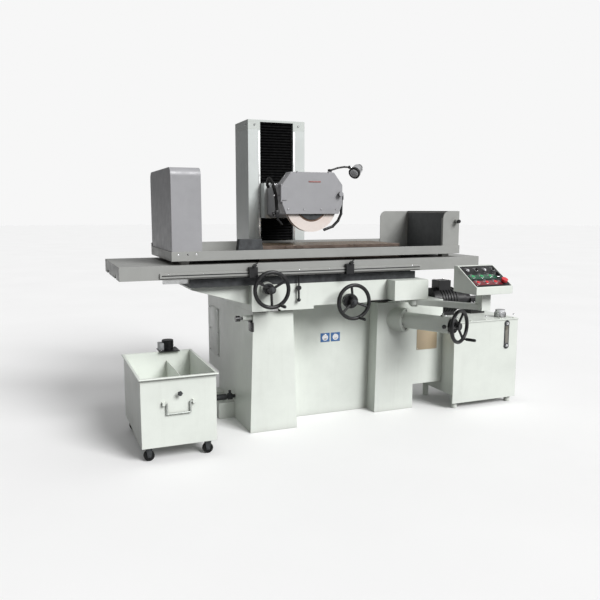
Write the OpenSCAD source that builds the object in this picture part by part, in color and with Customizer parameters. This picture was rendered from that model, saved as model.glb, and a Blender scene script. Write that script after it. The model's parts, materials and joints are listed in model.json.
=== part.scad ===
// Saddle-type hydraulic surface grinder with a swivelling control pendant, a hydraulic
// power unit on its right and a roll-out coolant tank on its left.
// Frame: X runs along the table to the operator's right, Y runs from the operator to the
// column, Z is up. The origin is on the underside of the base, in the plane of the spindle.

/* [Base] */
// Height of the base casting, floor to cross ways
base_h = 768; // [700:2:860]
// Front of the left leg, ahead of the origin
base_front = 550; // [500:5:620]
// Back of the base, behind the origin
base_back = 580; // [540:5:680]
// Left side of the left leg, at the top
base_left = 447; // [420:1:520]
// Width of the left leg at the top
left_leg_w = 264; // [200:1:320]
// How much each leg widens down to the floor
leg_flare = 26; // [0:1:40]
// Width of the centre panel between the legs
panel_w = 660; // [560:1:760]
// Set-back of the centre panel behind the left leg
panel_setback = 209; // [120:1:240]
// Width of the right leg
right_leg_w = 289; // [240:1:340]
// Set-back of the right leg behind the left leg
right_setback = 93; // [40:1:110]
// Width of the side cabinet on the right leg
cabinet_w = 237; // [150:1:300]
// Height of the side cabinet's underside above the floor
cabinet_clear = 172; // [120:1:300]
// Depth of the side cabinet
cabinet_d = 330; // [200:5:450]
// Height of the undercut below the column pedestal
undercut_h = 210; // [150:1:300]
// Depth of the undercut, from the back
undercut_d = 370; // [300:5:420]
// Wall of the hollow casting
cast_wall = 36; // [24:1:50]
// Height of the anchor lugs
lug_h = 108; // [60:1:140]
// Diameter of the anchor holes
anchor_d = 22; // [16:1:30]

/* [Column] */
// Width of the column
col_w = 438; // [400:2:480]
// Depth of the column
col_d = 315; // [300:1:360]
// Height of the column above the base, with its cap
col_h = 1273; // [1200:1:1500]
// Height of the column's cap
cap_h = 68; // [50:1:90]
// Width of the slot for the head
slot_w = 254; // [220:1:280]
// Thickness of the front flanges beside the slot
flange_t = 60; // [40:1:80]
// Wall of the column
col_wall = 28; // [20:1:36]
// Folds in the upper bellows
upper_folds = 22; // [12:1:30]
// Folds in the lower bellows
lower_folds = 26; // [14:1:34]

/* [Saddle and table] */
// Width of the saddle's apron
apron_w = 945; // [900:1:980]
// Depth of the saddle
saddle_d = 645; // [560:1:660]
// Height of the saddle casting
saddle_h = 165; // [150:1:200]
// Width of the gear housing at the saddle's right end
gearbox_w = 242; // [200:1:260]
// Height of the way beam that carries the table
beam_h = 48; // [40:1:70]
// Length of the way beam
beam_l = 1529; // [1300:1:1700]
// Length of the table
table_l = 2411; // [2200:1:2600]
// Width of the table
table_w = 712; // [640:1:720]
// Thickness of the table
table_h = 80; // [70:1:100]
// Length of the splash tray
tray_l = 1966; // [1800:1:2050]
// Length of the magnetic chuck
chuck_l = 1000; // [800:10:1050]
// Width of the magnetic chuck
chuck_w = 400; // [300:10:400]
// Height of the magnetic chuck
chuck_h = 92; // [70:1:96]
// Height of the left splash guard above the tray
left_guard_h = 527; // [400:1:600]
// Length of the left splash guard
left_guard_l = 175; // [120:1:190]
// Height of the right splash guard above the tray
right_guard_h = 277; // [200:1:320]

/* [Head and wheel] */
// Height of the spindle above the chuck's face
spindle_over_chuck = 260; // [259:1:310]
// Diameter of the grinding wheel
wheel_d = 355; // [300:1:355]
// Width of the grinding wheel
wheel_w = 40; // [25:1:44]
// Bore of the grinding wheel
wheel_bore = 127; // [100:1:140]
// Diameter of the spindle
spindle_d = 70; // [60:1:80]
// Width of the spindle housing
housing_w = 214; // [190:1:230]
// Height of the spindle housing
housing_h = 240; // [220:1:260]
// Width of the wheel guard
guard_w = 422; // [400:1:440]
// Height of the wheel guard above the spindle's axis
guard_top = 204; // [195:1:230]
// How far the wheel guard reaches below the spindle's axis
guard_drop = 62; // [40:1:90]
// Height of the head carriage
carriage_h = 250; // [230:1:280]

/* [Handwheels] */
// Diameter of the table and cross-feed handwheels
handwheel_d = 236; // [200:1:250]
// Diameter of the elevating handwheel
lift_wheel_d = 228; // [190:1:230]
// Thickness of a handwheel's rim
rim_d = 24; // [18:1:28]
// Angle of the elevating tube, away from straight ahead
lift_angle = 26.5; // [15:0.5:35]
// Length from the base to the elevating handwheel
lift_l = 470; // [420:1:520]

/* [Control pendant] */
// Length of the pendant arm
arm_l = 462; // [400:1:520]
// Angle of the pendant arm, away from straight ahead
arm_angle = 34.7; // [20:0.1:45]
// Width of the control box
box_w = 268; // [240:1:320]
// Height of the pendant's post above the arm
post_h = 74; // [60:1:110]
// Height of the control box's front edge
box_lip = 46; // [36:1:60]
// Length of the sloping control panel
panel_l = 230; // [210:1:260]
// Slope of the control panel
panel_tilt = 30; // [15:1:35]

/* [Hydraulic unit] */
// Length of the oil tank
oil_l = 546; // [480:1:640]
// Depth of the oil tank
oil_d = 445; // [420:1:520]
// Height of the oil tank's top above the floor
oil_h = 614; // [560:1:680]
// Diameter of the pump's motor
motor_d = 200; // [160:1:210]

/* [Coolant tank] */
// Length of the coolant tank along X
cool_l = 427; // [380:1:500]
// Depth of the coolant tank along Y
cool_d = 672; // [560:1:720]
// Height of the coolant tank's body
cool_h = 399; // [350:1:440]
// Diameter of the casters' wheels
caster_d = 60; // [50:1:64]
// Floor to tank height under the coolant tank
caster_h = 85; // [80:1:100]

/* [Hidden] */
$fn = 64;

// Clearances: flat slides and covers, running round fits, loose pieces
slide_gap = 0.3;
fit_gap = 0.05;
loose_gap = 0.5;
eps = 1;                 // how far a cutting shape reaches past what it cuts

// Base, seen from above
leg_front = -base_front;
left_x0 = -base_left;
left_x1 = left_x0 + left_leg_w;
right_x0 = left_x1 + panel_w;
right_x1 = right_x0 + right_leg_w;
panel_front = leg_front + panel_setback;
right_front = leg_front + right_setback;
foot_back = base_back - undercut_d;
cabinet_x1 = right_x1 + cabinet_w;
anchor_x = [left_x0 - 83, right_x1 + 54];
anchor_y = [-130, foot_back - 60];
lubricator = [left_x0 - 62, leg_front + 30, base_h - 35];
lube_rod_r = 8;

// Cross ways on the base: a vee on the left leg and a flat on the right leg
vee_x = (left_x0 + left_x1) / 2;
flat_x = right_x0 + 123;
vee_w = 70;
vee_shoulder = 14;
vee_rise = 24;
flat_w = 80;
flat_h = 30;

// Column and head guide
col_front = base_back - 30 - col_d;
col_back = col_front + col_d;
cap_z = base_h + col_h - cap_h;
col_top = base_h + col_h;
col_floor = 30;
slot_top = col_top - 15;
slot_bottom = base_h + col_floor + 2;
flange_back = col_front + flange_t;

// Saddle and table stack, from the base up
saddle_z = base_h + 12;
saddle_top = saddle_z + saddle_h;
beam_top = saddle_top + beam_h;
table_z = beam_top + 10;
table_top = table_z + table_h;
saddle_front = -595;
saddle_back = saddle_front + saddle_d;
apron_x0 = -470;
apron_x1 = apron_x0 + apron_w;
gearbox_front = -700;
gearbox_z = saddle_z + 35;
gearbox_x1 = apron_x1 + gearbox_w;
foot_x0 = flat_x - 60;
foot_x1 = flat_x + 60;
beam_x0 = -847;
beam_front = saddle_front + 5;
beam_back = saddle_back - 10;
table_x0 = -1254;
table_front = -640;
table_vee_y = -470;
table_flat_y = -90;

// Table feed: pinion under a rack that is let into the way beam
table_feed = [-377, gearbox_front, saddle_z + 145];
pinion_y = -550;
pinion_w = 30;
shaft_r = 12.5;
rack_h = 32.7;
rack_reach = 620;
pinion_clear = 6;
pinion_r = table_z - rack_h - slide_gap - table_feed.z;

// Cross feed: screw on the saddle, nut on the base
cross_feed = [171, gearbox_front, saddle_z + 44];
screw_r = 15;
nut_front = panel_front + 6;
nut_l = 80;
nut_half = 45;
cross_reach_front = 340;
cross_reach_back = 110;
cross_screw_l = nut_front + nut_l + cross_reach_front + 10 - (gearbox_front - 5);
hand_boss_r = 40;
hand_boss_l = 25;
collar_l = 49;
lever = [-170, saddle_front - 21, saddle_top - 25];
lever_r = 7;
conduit_x = [330, foot_x0 + 8];
conduit_y = saddle_front - 17;
conduit_z = saddle_z + 28;
conduit_r = 6;
conduit_bend = 10;

// Tray, chuck and splash guards on the table
tray_x0 = -956;
tray_x1 = tray_x0 + tray_l;
tray_front = table_front + 20;
tray_back = table_front + table_w - 14;
tray_z = table_top + 22;
tray_t = 8;
tray_top = tray_z + tray_t;
tray_lip = 47;
rear_lip = 70;
sheet = 5;
chuck_x0 = -380;
chuck_clear = 6;
upstand = 20;
chuck_front = tray_front + 136;
chuck_top = table_top + chuck_h;
right_guard_back_l = 240;
right_guard_front_l = 128;
guard_corner = 46;
dresser_x0 = -563;
dresser_w = 171;
dresser_d = 52;
dresser_h = 112;

// Dog rail on the table's front edge and its two trip dogs
rail_x = [-1031, 690];
rail_t = 12;
rail_z = [table_z + 9, table_z + 37];
dog_w = 52;
dog_t = 32;
dog_x = [-507, 132];

// Spindle, housing, carriage and wheel
spindle_z = chuck_top + spindle_over_chuck;
spindle_r = spindle_d / 2;
carriage_z = spindle_z - 95;
carriage_top = carriage_z + carriage_h;
carriage_front = col_front - 85;
guide_back = flange_back + slide_gap + 50;
guide_half = col_w / 2 - col_wall - 11;
housing_z = carriage_z + (carriage_h - housing_h) / 2;
housing_front = -350;
wheel_y = -395;
wheel_front = wheel_y - wheel_w / 2;
wheel_back = wheel_y + wheel_w / 2;
flange_r = 100;
flange_plate = 6;
guard_back = housing_front;
guard_front = wheel_front - 16;
guard_wall = 8;
door_t = 5.2;
door_front = guard_front - slide_gap - door_t;
guard_half = guard_w / 2;
hinge_x = -guard_half - 6;
hinge_y = door_front - 0.5;
hinge_z = [spindle_z + 15, spindle_z + 115];
hinge_lug = 10;
hinge_pin_r = 3;
knuckle_r = 5;
motor_r = 110;
motor_l = 160;
motor_shaft_l = 125;
lamp_x = 137;
lamp_pin_r = 5;
lamp_seat_z = spindle_z + guard_top + 6;
lamp_joint = [280, wheel_y, lamp_seat_z + slide_gap + 33];
lift_screw = [150, flange_back + 25];
lift_screw_r = 16;

// Elevating tube, along the direction that the operator faces
lift_root = [(right_x0 + right_x1) / 2 + 14, right_front, base_h - 118];
lift_boss = 45;
lift_flange_r = 82;
lift_flange_t = 22;
lift_tube_r = 55;
lift_shaft_r = 14;
lift_hub = 30;

// Pendant
pivot = [apron_x1 + 167, gearbox_front + 50];
arm_z1 = gearbox_z - slide_gap;
arm_t = 38;
arm_z0 = arm_z1 - arm_t;
arm_wide = 50;
pivot_r = 15;
arm_end = pivot + arm_l * [sin(arm_angle), -cos(arm_angle)];
post_w = 65;
box_z = arm_z1 + post_h;
box_x0 = arm_end.x - box_w / 2;
box_front = arm_end.y - 110;
ridge_y = box_front + panel_l * cos(panel_tilt);
ridge_z = box_z + box_lip + panel_l * sin(panel_tilt);
box_rear = ridge_y + 36;
button_col = [38, 102, 166, 230];
row_low = 46;
row_mid = 108;
row_top = 172;
button_r = 11;
button_seat = 14;

// Hydraulic unit
oil_x0 = cabinet_x1 + loose_gap;
oil_x1 = oil_x0 + oil_l;
oil_front = leg_front - 55;
oil_back = oil_front + oil_d;
oil_foot = 40;
skirt_h = 60;
lid_t = 8;
lid_top = oil_h + lid_t;
pump_y = oil_back - 90;
pump_z = lid_top + 5 + motor_d / 2;
filler = [oil_x1 - 91, oil_front + 88];
neck_r = 30;
neck_h = 25;

// Coolant tank
cool_x0 = -1186;
cool_x1 = cool_x0 + cool_l;
cool_front = -817;
cool_back = cool_front + cool_d;
cool_top = caster_h + cool_h;
caster_x = [cool_x0 + 45, cool_x1 - 45];
caster_y = [cool_front + 50, cool_back - 50];
caster_axle_r = 5;
cool_wall = 4;
divider_x = cool_x0 + 270;
bail_x = [cool_x0 + 128, cool_x0 + 298];
bail = [cool_front - 12, caster_h + 250];
bail_r = 5;
bail_drop = 60;

// ---------- shared shapes ----------

// A box from one corner to the opposite one
module block(from, to) { translate(from) cube(to - from); }

// A round bar between two points
module rod(from, to, r) {
    run = to - from;
    translate(from)
        rotate([0, acos(run.z / norm(run)), atan2(run.y, run.x)])
            cylinder(r = r, h = norm(run));
}

// A round bar through several points, with ball elbows turned about Z by turn
module bent_rod(points, r, turn = 0) {
    for (i = [1 : len(points) - 1]) rod(points[i - 1], points[i], r);
    for (i = [1 : len(points) - 2]) translate(points[i]) rotate([0, 0, turn]) sphere(r = 1.12 * r);
}

// Round bars that start at a point and run along X or Y
module along_x(from, r, l) { translate(from) rotate([0, 90, 0]) cylinder(r = r, h = l); }
module along_y(from, r, l) { translate(from) rotate([-90, 0, 0]) cylinder(r = r, h = l); }

// An X-Z outline drawn out along Y, and a Y-Z outline drawn out along X
module extrude_y(y0, y1) { translate([0, y1, 0]) rotate([90, 0, 0]) linear_extrude(y1 - y0) children(); }
module extrude_x(x0, x1) { translate([x0, 0, 0]) rotate([90, 0, 90]) linear_extrude(x1 - x0) children(); }

// Cross-section of a vee way, grown by gap for the groove that runs on it
module vee_shape(gap = 0) {
    half = vee_w / 2 + gap;
    polygon([[-half, -gap], [half, -gap], [half, vee_shoulder + gap],
        [0, vee_shoulder + vee_rise + gap], [-half, vee_shoulder + gap]]);
}

// Cross-section of a flat way, grown by gap for its groove
module flat_shape(gap = 0) {
    translate([-flat_w / 2 - gap, -gap]) square([flat_w + 2 * gap, flat_h + 2 * gap]);
}

// A dished handwheel with three spokes; +Z points at the operator and the rim lies at z = 0
module handwheel(d, spoke_angle, handle_angle) {
    rim_r = rim_d / 2;
    ring = d / 2 - rim_r;
    hub_z = -32;
    rotate_extrude() translate([ring, 0]) circle(r = rim_r);
    translate([0, 0, hub_z]) cylinder(r = 24, h = 40);
    for (i = [0 : 2])
        rotate([0, 0, spoke_angle + 120 * i])
            rod([15, 0, hub_z + 20], [ring, 0, 0], 8);
    rotate([0, 0, handle_angle]) {
        translate([ring, 0, 0]) cylinder(r = 6, h = 26);
        translate([ring, 0, 24]) cylinder(r = 10, h = 60);
        translate([ring, 0, 84]) sphere(r = 10);
    }
}

// ---------- base ----------

module leg(x0, x1, flare0, flare1, front) {
    extrude_y(front, foot_back)
        polygon([[x0 - flare0, 0], [x1 + flare1, 0], [x1, base_h], [x0, base_h]]);
}

// Places children at the elevating tube's root with +Z along the tube
module on_lift() {
    translate(lift_root) rotate([90, 0, lift_angle]) children();
}

module base_casting() {
    low = cast_wall;
    high = base_h - 40;
    color("whitesmoke") difference() {
        union() {
            difference() {
                union() {
                    leg(left_x0, left_x1, leg_flare, leg_flare, leg_front);
                    leg(right_x0, right_x1, 17, 0, right_front);
                    block([left_x1 - 10, panel_front, 0], [right_x0 + 10, foot_back, base_h]);
                    block([left_x0, foot_back - 10, undercut_h], [right_x0, base_back, base_h]);
                    block([right_x1 - 10, right_front, cabinet_clear],
                        [cabinet_x1, right_front + cabinet_d, base_h]);
                    for (y = anchor_y) {
                        block([anchor_x[0] - 50, y - 65, 0], [left_x0 + 10, y + 60, lug_h]);
                        block([right_x1 - 10, y - 65, 0], [anchor_x[1] + 53, y + 60, lug_h]);
                    }
                }
                block([left_x0 + cast_wall, leg_front + cast_wall, low],
                    [left_x1 - cast_wall, foot_back - cast_wall, high]);
                block([left_x1 + cast_wall, panel_front + cast_wall, low],
                    [right_x0 - cast_wall, foot_back - cast_wall, high]);
                block([right_x0 + cast_wall, right_front + cast_wall, low],
                    [right_x1 - cast_wall, foot_back - cast_wall, high]);
                block([left_x0 + cast_wall, foot_back + cast_wall, undercut_h + cast_wall],
                    [right_x0 - cast_wall, base_back - cast_wall, high]);
                block([right_x1 + 20, right_front + 20, cabinet_clear + 20],
                    [cabinet_x1 - 20, right_front + cabinet_d - 20, high]);
            }
            on_lift() translate([0, 0, -70]) cylinder(r = lift_flange_r, h = 70 + lift_boss);
            // pump body of the lubricator, on the left side
            along_x(lubricator, 17, 100);
            // bracket of the cross-feed nut
            block([cross_feed.x - nut_half, nut_front, base_h - 10],
                [cross_feed.x + nut_half, nut_front + nut_l, cross_feed.z + 40]);
        }
        for (x = anchor_x, y = anchor_y)
            translate([x, y, -eps]) cylinder(d = anchor_d, h = lug_h + 2 * eps);
        on_lift() translate([0, 0, -40]) cylinder(r = lift_shaft_r + fit_gap, h = 60 + lift_boss);
        along_x(lubricator - [eps, 0, 0], lube_rod_r + fit_gap, 80);
        along_y([cross_feed.x, nut_front - eps, cross_feed.z], screw_r + fit_gap, nut_l + 2 * eps);
    }
}

module cross_ways() {
    color("silver") translate([0, 0, base_h]) {
        translate([vee_x, 0, 0]) extrude_y(leg_front + 10, col_front - 10) vee_shape();
        translate([flat_x, 0, 0]) extrude_y(right_front + 10, col_front - 10) flat_shape();
    }
}

module column_casting() {
    half = col_w / 2;
    color("gainsboro") difference() {
        block([-half, col_front, base_h], [half, col_back, cap_z]);
        block([-half + col_wall, flange_back, base_h + col_floor],
            [half - col_wall, col_back - col_wall, cap_z + eps]);
        block([-slot_w / 2, col_front - eps, slot_bottom],
            [slot_w / 2, flange_back + eps, cap_z + eps]);
        translate([lift_screw.x, lift_screw.y, base_h + 10])
            cylinder(r = lift_screw_r + fit_gap, h = col_floor);
    }
}

module column_cap() {
    half = col_w / 2;
    color("darkgray") difference() {
        block([-half, col_front, cap_z], [half, col_back, col_top]);
        block([-slot_w / 2, col_front - eps, cap_z - eps], [slot_w / 2, flange_back, slot_top]);
        translate([lift_screw.x, lift_screw.y, cap_z - eps])
            cylinder(r = lift_screw_r + fit_gap, h = 15 + eps);
    }
}

// A folded way cover that closes the slot between two heights
module bellows(z0, z1, folds) {
    depth = 20;
    skin = 4;
    front = col_front + 6;
    pitch = (z1 - z0) / folds;
    color("black") extrude_x(-slot_w / 2 + 5, slot_w / 2 - 5)
        polygon(concat(
            [for (i = [0 : 2 * folds]) [front + (i % 2) * depth, z0 + i * pitch / 2]],
            [for (i = [2 * folds : -1 : 0]) [front + (i % 2) * depth + skin, z0 + i * pitch / 2]]));
}

module upper_bellows() { bellows(carriage_top, slot_top, upper_folds); }
module lower_bellows() { bellows(slot_bottom, carriage_z, lower_folds); }

module elevating_tube() {
    tube_end = lift_l - lift_hub - 32;
    color("whitesmoke") on_lift() difference() {
        union() {
            translate([0, 0, lift_boss]) cylinder(r = lift_flange_r, h = lift_flange_t);
            translate([0, 0, lift_boss]) cylinder(r = lift_tube_r, h = tube_end - lift_boss);
            for (i = [0 : 5])
                rotate([0, 0, 60 * i + 30]) translate([68, 0, lift_boss + lift_flange_t - 2])
                    cylinder(r = 7, h = 10);
            translate([0, lift_tube_r - 5, tube_end - 60]) rotate([-90, 0, 0]) cylinder(r = 7, h = 26);
        }
        translate([0, 0, lift_boss - eps]) cylinder(r = lift_shaft_r + fit_gap, h = tube_end);
    }
}

module drain_valve() {
    y = anchor_y[0] - 65;
    z = 150;
    side = left_x0 - leg_flare * (1 - z / base_h) - loose_gap - slide_gap;
    color("dimgray") {
        along_x([side - 62, y, z], 12, 62);
        along_x([side - 50, y, z], 22, 30);
        translate([side - 35, y, z]) cylinder(r = 9, h = 42);
        along_x([side - 130, y, z], 20, 70);
    }
}

// ---------- hydraulic unit ----------

module hydraulic_tank() {
    color("whitesmoke") difference() {
        union() {
            block([oil_x0, oil_front, oil_foot + skirt_h], [oil_x1, oil_back, oil_h]);
            block([oil_x0, oil_front, oil_foot], [oil_x1, oil_front + sheet, oil_foot + skirt_h + 1]);
            for (x = [oil_x0 + 40, oil_x1 - 40], y = [oil_front + 40, oil_back - 40])
                translate([x, y, 0]) cylinder(r = 22, h = oil_foot + skirt_h + 1);
        }
        block([oil_x0 + sheet, oil_front + sheet, oil_foot + skirt_h + sheet],
            [oil_x1 - sheet, oil_back - sheet, oil_h + eps]);
    }
}

module tank_lid() {
    color("whitesmoke") {
        block([oil_x0, oil_front - 4, oil_h], [oil_x1 + 4, oil_back, lid_top]);
        for (x = [oil_x0 + 25 : (oil_l - 50) / 4 : oil_x1 - 24], y = [oil_front + 18, oil_back - 18])
            translate([x, y, lid_top - 1]) cylinder(r = 7, h = 7);
        translate([filler.x, filler.y, lid_top - 1]) cylinder(r = neck_r, h = neck_h + 1);
    }
}

module filler_cap() {
    color("silver") translate([filler.x, filler.y, lid_top + slide_gap]) difference() {
        union() {
            cylinder(r = 40, h = 36);
            translate([0, 0, 36]) cylinder(r = 34, h = 19);
        }
        translate([0, 0, -eps]) cylinder(r = neck_r + fit_gap, h = neck_h + slide_gap + eps);
    }
}

// Electric motor, bell housing, pump and valve block on one foot plate
module hydraulic_pump() {
    motor_x0 = oil_x0 + 10;
    bell_x0 = motor_x0 + 210;
    pump_x0 = bell_x0 + 80;
    color("black") {
        along_x([motor_x0, pump_y, pump_z], motor_d / 2 - 6, 211);
        along_x([motor_x0, pump_y, pump_z], motor_d / 2, 50);
        for (i = [0 : 5]) along_x([motor_x0 + 70 + 24 * i, pump_y, pump_z], motor_d / 2, 8);
        along_x([bell_x0, pump_y, pump_z], 74, 81);
        along_x([pump_x0, pump_y, pump_z], 46, 60);
        block([motor_x0 + 60, pump_y - 50, pump_z + 70], [motor_x0 + 160, pump_y + 50, pump_z + 155]);
        block([motor_x0 + 60, pump_y - 60, lid_top], [motor_x0 + 190, pump_y + 60, pump_z - 60]);
        block([pump_x0 + 50, pump_y - 60, lid_top], [oil_x1 - 70, pump_y + 60, lid_top + 118]);
        along_y([pump_x0 + 110, pump_y - 95, lid_top + 80], 18, 40);
    }
}

// ---------- controls on the base ----------

module lube_knob() {
    color("black") {
        along_x(lubricator - [18, 0, 0], lube_rod_r, 75);
        along_x(lubricator - [44, 0, 0], 18, 27);
    }
}

module elevating_handwheel() {
    color("black") on_lift() {
        translate([0, 0, lift_l]) handwheel(lift_wheel_d, 60, -60);
        translate([0, 0, lift_l - lift_hub - 31.7]) cylinder(r = 46, h = 30);
        translate([0, 0, -38]) cylinder(r = lift_shaft_r, h = lift_l);
    }
}

module elevating_screw() {
    color("silver") translate([lift_screw.x, lift_screw.y, base_h + 12])
        cylinder(r = lift_screw_r, h = cap_z - base_h);
}

// ---------- saddle ----------

module saddle_casting() {
    way_clear = 3;
    color("whitesmoke") difference() {
        union() {
            block([apron_x0, saddle_front, saddle_z], [apron_x1, saddle_back, saddle_top]);
            block([apron_x1 - 10, gearbox_front, gearbox_z], [gearbox_x1, saddle_back, saddle_top]);
            block([foot_x0, saddle_front, saddle_z], [foot_x1, saddle_back, gearbox_z + 1]);
            // bracket under the left overhang of the way beam
            extrude_y(saddle_front + 60, saddle_back - 60)
                polygon([[apron_x0 + 1, saddle_z + 40], [apron_x0 + 1, saddle_top],
                    [beam_x0 + 20, saddle_top], [beam_x0 + 20, saddle_top - 20]]);
            along_y([table_feed.x, saddle_front - hand_boss_l, table_feed.z], hand_boss_r, hand_boss_l + 1);
            along_y([cross_feed.x, saddle_front - hand_boss_l, cross_feed.z], hand_boss_r, hand_boss_l + 1);
            translate([pivot.x, pivot.y, arm_z0 - 12]) cylinder(r = pivot_r, h = gearbox_z - arm_z0 + 13);
            translate([pivot.x, pivot.y, arm_z0 - 12]) cylinder(r = 24, h = 12 - slide_gap);
        }
        block([-60, saddle_front - eps, saddle_z - eps],
            [apron_x1 + eps, saddle_back + eps, saddle_z + 20]);
        translate([vee_x, 0, base_h]) extrude_y(saddle_front - eps, saddle_back + eps)
            vee_shape(slide_gap);
        translate([flat_x, 0, base_h]) extrude_y(saddle_front - eps, saddle_back + eps)
            flat_shape(slide_gap);
        // room for the nut bracket over the whole cross travel
        block([cross_feed.x - nut_half - way_clear, nut_front - cross_reach_back - way_clear,
                saddle_z - eps],
            [cross_feed.x + nut_half + way_clear, saddle_back + eps, cross_feed.z + 40 + way_clear]);
        along_y([cross_feed.x, saddle_front - hand_boss_l - eps, cross_feed.z], screw_r + fit_gap, 300);
        // pinion pocket and its shaft's bore
        block([table_feed.x - pinion_r - pinion_clear, pinion_y - pinion_w / 2 - 3,
                table_feed.z - pinion_r - pinion_clear],
            [table_feed.x + pinion_r + pinion_clear, pinion_y + pinion_w / 2 + 3, saddle_top + eps]);
        along_y([table_feed.x, saddle_front - hand_boss_l - eps, table_feed.z], shaft_r + fit_gap, 80);
        along_y([lever.x, saddle_front - eps, lever.z], lever_r + fit_gap, 30);
    }
}

module table_ways() {
    color("dimgray") difference() {
        union() {
            block([beam_x0, beam_front, saddle_top], [beam_x0 + beam_l, beam_back, beam_top]);
            translate([0, table_vee_y, beam_top]) extrude_x(beam_x0, beam_x0 + beam_l) vee_shape();
            translate([0, table_flat_y, beam_top]) extrude_x(beam_x0, beam_x0 + beam_l) flat_shape();
        }
        block([beam_x0 - eps, pinion_y - pinion_w / 2 - 4, table_z - rack_h - 4],
            [beam_x0 + beam_l + eps, pinion_y + pinion_w / 2 + 4, beam_top + eps]);
        block([table_feed.x - pinion_r - pinion_clear, pinion_y - pinion_w / 2 - 3, saddle_top - eps],
            [table_feed.x + pinion_r + pinion_clear, pinion_y + pinion_w / 2 + 3, beam_top + eps]);
    }
}

// Quarter bend of a pipe in the X-Y plane, turned about Z round its centre
module pipe_bend(centre, turn, bend, r) {
    translate(centre) rotate([0, 0, turn]) rotate_extrude(angle = 90) translate([bend, 0]) circle(r = r);
}

// Conduit from the apron's front to the right foot's, in front of the cross ways
module conduit() {
    b = conduit_bend;
    seat = saddle_front - slide_gap;
    color("black") {
        for (x = conduit_x) along_y([x, conduit_y + b, conduit_z], conduit_r, seat - conduit_y - b);
        along_x([conduit_x[0] + b, conduit_y, conduit_z], conduit_r, conduit_x[1] - conduit_x[0] - 2 * b);
        pipe_bend([conduit_x[0] + b, conduit_y + b, conduit_z], 180, b, conduit_r);
        pipe_bend([conduit_x[1] - b, conduit_y + b, conduit_z], 270, b, conduit_r);
    }
}

// Lever that the trip dogs throw: shaft, hub, hand ball below and a finger up to the dogs
module reversing_lever() {
    color("black") {
        along_y(lever - [0, 9, 0], lever_r, 55);
        along_y(lever - [0, 9, 0], 14, 18);
        rod(lever, lever - [0, 0, 70], 6);
        translate(lever - [0, 0, 76]) sphere(r = 12);
        rod(lever, [lever.x, lever.y, table_z - 8], 5);
    }
}

module table_handwheel() {
    color("black") {
        translate(table_feed) rotate([90, 0, 0]) handwheel(handwheel_d, 30, -62);
        along_y([table_feed.x, saddle_front - hand_boss_l - collar_l - 0.7, table_feed.z], 30, collar_l);
        along_y([table_feed.x, gearbox_front, table_feed.z], shaft_r,
            pinion_y + pinion_w / 2 - gearbox_front);
        along_y([table_feed.x, pinion_y - pinion_w / 2, table_feed.z], pinion_r, pinion_w);
    }
}

module cross_handwheel() {
    color("black") difference() {
        union() {
            translate(cross_feed) rotate([90, 0, 0]) handwheel(handwheel_d, 100, -72);
            along_y([cross_feed.x, saddle_front - hand_boss_l - 50, cross_feed.z], 44, collar_l);
        }
        along_y([cross_feed.x, gearbox_front - 6, cross_feed.z], screw_r + fit_gap, 100);
    }
}

module cross_screw() {
    color("silver")
        along_y([cross_feed.x, gearbox_front - 5, cross_feed.z], screw_r, cross_screw_l);
}

// ---------- table ----------

module table() {
    table_x1 = table_x0 + table_l;
    table_back = table_front + table_w;
    color("darkgray") difference() {
        union() {
            block([table_x0, table_front, table_z], [table_x1, table_back, table_top]);
            block([rail_x[0], table_front - rail_t, rail_z[0]], [rail_x[1], table_front + 1, rail_z[1]]);
        }
        translate([0, table_vee_y, beam_top]) extrude_x(table_x0 - eps, table_x1 + eps)
            vee_shape(slide_gap);
        translate([0, table_flat_y, beam_top]) extrude_x(table_x0 - eps, table_x1 + eps)
            flat_shape(slide_gap);
    }
}

module splash_tray() {
    color("lightgray") difference() {
        union() {
            block([tray_x0, tray_front, tray_z], [tray_x1, tray_back, tray_top]);
            block([tray_x0, tray_front, tray_z], [tray_x1, tray_front + sheet, tray_top + tray_lip]);
            block([tray_x0, tray_back - sheet, tray_z], [tray_x1, tray_back, tray_top + rear_lip]);
            for (x = [tray_x0, tray_x1 - sheet])
                block([x, tray_front, tray_z], [x + sheet, tray_back, tray_top + tray_lip]);
            for (x = [tray_x0 + 60, tray_x1 - 110], y = [tray_front + 40, tray_back - 90])
                block([x, y, table_top], [x + 50, y + 50, tray_z + 1]);
            // upstand round the chuck
            block([chuck_x0 - 2 * chuck_clear, chuck_front - 2 * chuck_clear, tray_z],
                [chuck_x0 + chuck_l + 2 * chuck_clear, chuck_front + chuck_w + 2 * chuck_clear,
                    tray_top + upstand]);
        }
        block([chuck_x0 - chuck_clear, chuck_front - chuck_clear, tray_z - eps],
            [chuck_x0 + chuck_l + chuck_clear, chuck_front + chuck_w + chuck_clear,
                tray_top + upstand + eps]);
    }
}

// Side profile of the left splash guard, with rounded upper corners; inset shrinks it
module guard_profile(inset = 0) {
    depth = tray_back - tray_front - 2 * sheet - 1 - 2 * inset;
    h = left_guard_h - inset;
    r = guard_corner - inset;
    translate([inset, 0]) {
        square([depth, h - r]);
        translate([r, 0]) square([depth - 2 * r, h]);
        for (y = [r, depth - r]) translate([y, h - r]) circle(r = r);
    }
}

module left_guard() {
    x0 = tray_x0 + sheet + slide_gap;
    color("darkgray") translate([0, tray_front + sheet + 0.5, tray_top]) difference() {
        extrude_x(x0, x0 + left_guard_l) guard_profile();
        extrude_x(x0 + sheet, x0 + left_guard_l + eps) guard_profile(sheet);
        block([x0 + sheet, sheet, -eps],
            [x0 + left_guard_l + eps, tray_back - tray_front - 3 * sheet - 1, eps]);
    }
}

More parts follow.
